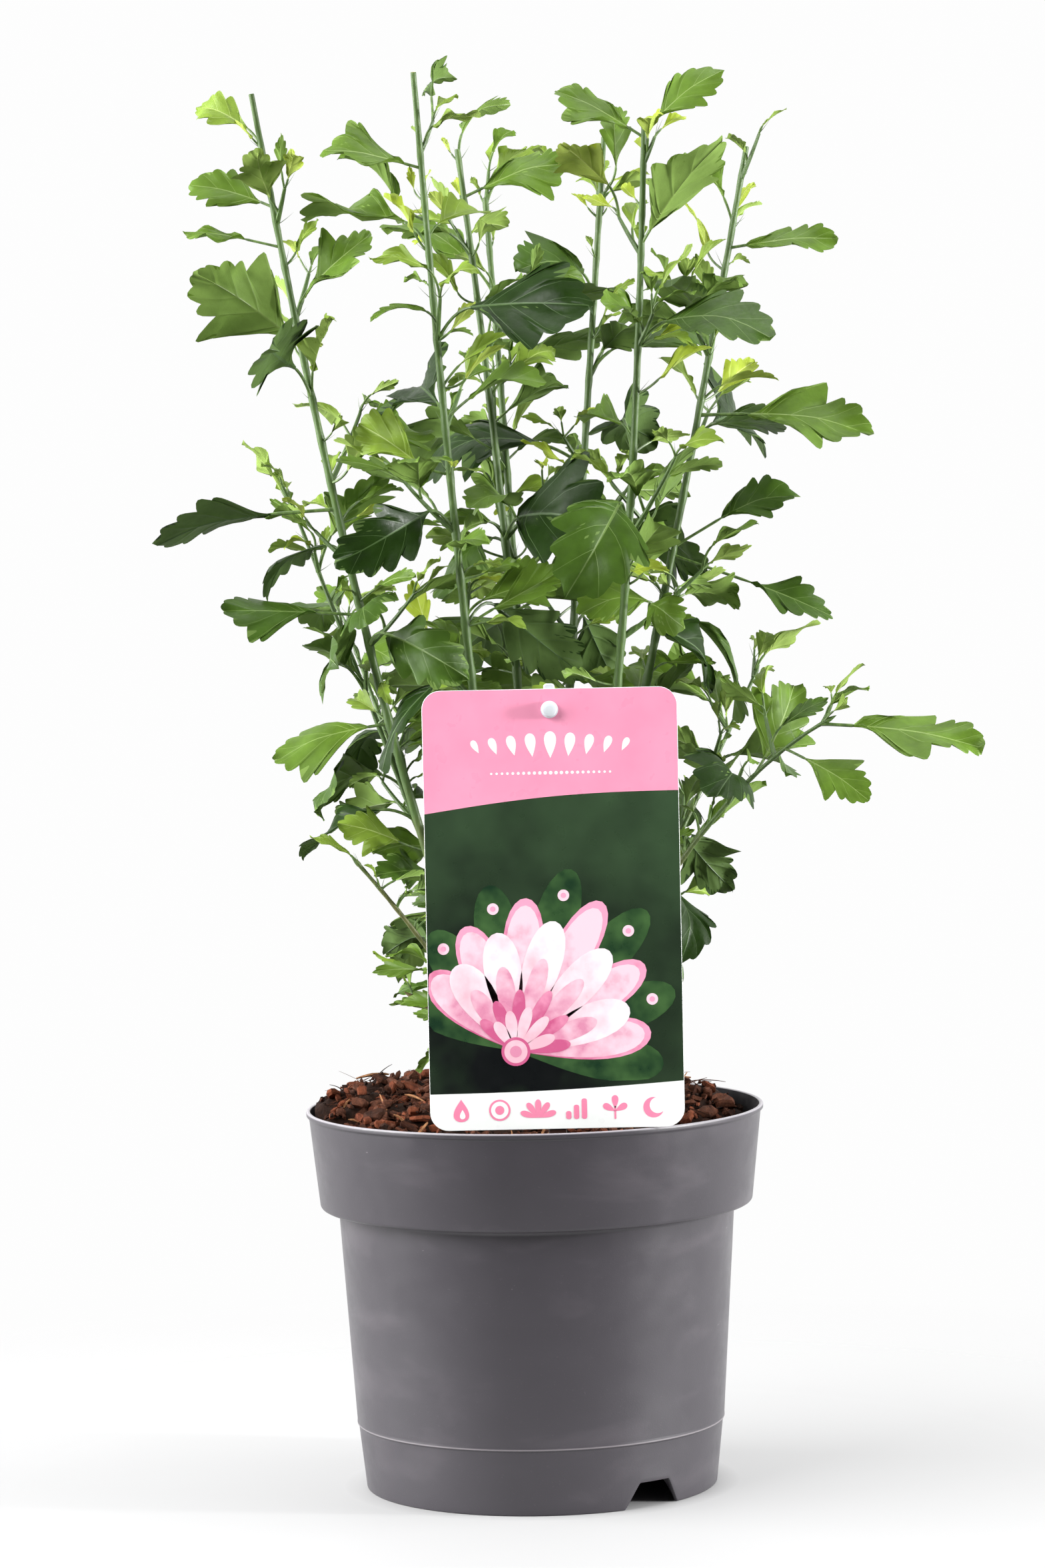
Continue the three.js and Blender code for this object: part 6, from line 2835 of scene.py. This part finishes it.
@dataclass(frozen=True)
class Studio:
    """The pale floor, the white surround, the soft boxes and the camera."""

    distance: float = 2.5116
    height: float = 0.4979
    pitch: float = 0.0576
    yaw: float = -0.0011
    roll: float = -0.0207
    focal_share: float = 7527.5 / 2353
    sensor: float = 36
    surround: float = 0.985
    back_light: float = 1.3
    front_light: float = 0.12
    floor_radius: float = 0.66
    floor_sides: int = 96
    floor_fade: tuple[float, float] = (0.27, 0.6)
    pot_shade: tuple[float, float] = (0.086, 0.1)
    floor_glow: float = 0.35
    lights: tuple[SoftLight, ...] = (
        SoftLight("key_left", (-1.5, -1.5, 1.5), (0, 0, 0.4), 1.1, 1.1, 56),
        SoftLight("graze_right", (2.4, -0.58, 0.6), (0, 0, 0.35), 0.16, 0.4, 86),
        SoftLight("side_left", (-1.5, -0.12, 0.75), (0, 0, 0.3), 1.3, 1.4, 66),
        SoftLight("side_right", (1.5, -0.16, 0.75), (0, 0, 0.3), 1.3, 1.4, 32),
        SoftLight("top", (0.1, 0.2, 2.2), (0, 0, 0.3), 1.2, 1.2, 18),
    )

    def build(self) -> None:
        """Set up everything round the object."""
        self.build_floor()
        self.build_surround()
        for light in self.lights:
            self.build_light(light)
        self.build_camera()
        bpy.context.scene.view_settings.view_transform = "Standard"

    def build_floor(self) -> None:
        """Lay a round pale floor under the pot."""
        mesh = bpy.data.meshes.new("studio_floor")
        ring = circle(self.floor_radius, 0, bearings(self.floor_sides)) + AXIS
        mesh.from_pydata(ring.tolist(), [], [tuple(range(self.floor_sides))])
        shader = Shader("studio_floor")
        shader.tint(shader.noise(3), (0.3, (0.36, 0.36, 0.362)), (0.7, (0.375, 0.375, 0.377)))
        shader.feed(shader.surface.inputs["Roughness"], 0.6)
        glow = shader.node("Emission", {"Strength": self.surround})
        shaded = shader.span(shader.distance(AXIS), *self.pot_shade, 0, self.floor_glow)
        faded = shader.span(shader.distance(AXIS), *self.floor_fade, 0, 1)
        lit = shader.mixed(shaded, shader.surface, glow)
        mesh.materials.append(shader.show(shader.mixed(faded, lit, shader.node("BsdfTransparent"))))
        floor = bpy.data.objects.new("studio_floor", mesh)
        bpy.context.scene.collection.objects.link(floor)

    def build_surround(self) -> None:
        """White light round the scene, dim in front and bright behind; the camera sees plain white."""
        world = bpy.data.worlds.new("studio_surround")
        world.use_nodes = True
        sky = Wiring(world.node_tree)
        seen = sky.tree.nodes["Background"]
        sky.feed(seen.inputs["Color"], (1, 1, 1))
        sky.feed(seen.inputs["Strength"], self.surround)
        depth = sky.axis("Y", sky.node("TexCoord").outputs["Generated"])
        strength = sky.span(depth, -0.7, 0.5, self.front_light, self.back_light)
        lighting = sky.node("Background", {"Strength": strength})
        to_camera = sky.node("LightPath").outputs["Is Camera Ray"]
        mix = sky.mixed(to_camera, lighting, seen)
        sky.feed(sky.tree.nodes["World Output"].inputs["Surface"], mix.outputs["Shader"])
        bpy.context.scene.world = world

    def build_light(self, light: SoftLight) -> None:
        """Hang one soft box.

        Args:
            light: its place, size and power.
        """
        data = bpy.data.lights.new(light.name, "AREA")
        data.shape = "RECTANGLE"
        data.size, data.size_y, data.energy = light.width, light.height, light.power
        lamp = bpy.data.objects.new(light.name, data)
        place, aim = Vector(light.place), Vector(light.aim)
        lamp.location = place + Vector(AXIS)
        lamp.rotation_euler = (aim - place).to_track_quat("-Z", "Y").to_euler()
        bpy.context.scene.collection.objects.link(lamp)

    def build_camera(self) -> None:
        """Stand the camera in front of the label."""
        data = bpy.data.cameras.new("camera")
        data.sensor_width, data.lens = self.sensor, self.focal_share * self.sensor
        data.clip_start, data.clip_end = 0.05, 60
        fore = math.cos(self.pitch)
        ahead = vector(math.sin(self.yaw) * fore, math.cos(self.yaw) * fore, -math.sin(self.pitch))
        right = vector(math.cos(self.yaw), -math.sin(self.yaw), 0)
        up = np.cross(right, ahead)
        c, s = math.cos(self.roll), math.sin(self.roll)
        place = vector(0, -self.distance, self.height) + AXIS
        columns = np.stack([right * c + up * s, up * c - right * s, -ahead, place], 1)
        camera = bpy.data.objects.new("camera", data)
        camera.matrix_world = Matrix([*columns.tolist(), [0, 0, 0, 1]])
        bpy.context.scene.collection.objects.link(camera)
        bpy.context.scene.camera = camera


# ---------------------------------------------------------------- assembly
def write_sizes() -> None:
    """Bring the scene's placements up to date."""
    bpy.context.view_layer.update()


def main() -> None:
    """Build the studio, the pot with its compost and label, and the plant."""
    logging.basicConfig(level=logging.INFO, format="%(message)s")
    pot, label = PotSize(), LabelSize()
    Studio().build()
    NurseryPot(pot, NotchSize()).build()
    CompostBed(CompostSize(), pot).build()
    PlantLabel(label).build()
    LabelStick(StickSize(), label).build()
    plant = Plant(CANES, label, pot)
    plant.grow()
    Stock(StockSize()).build()
    CaneStems(plant).build()
    Twigs(plant).build()
    Foliage(plant).build()
    write_sizes()


if __name__ == "__main__":
    main()
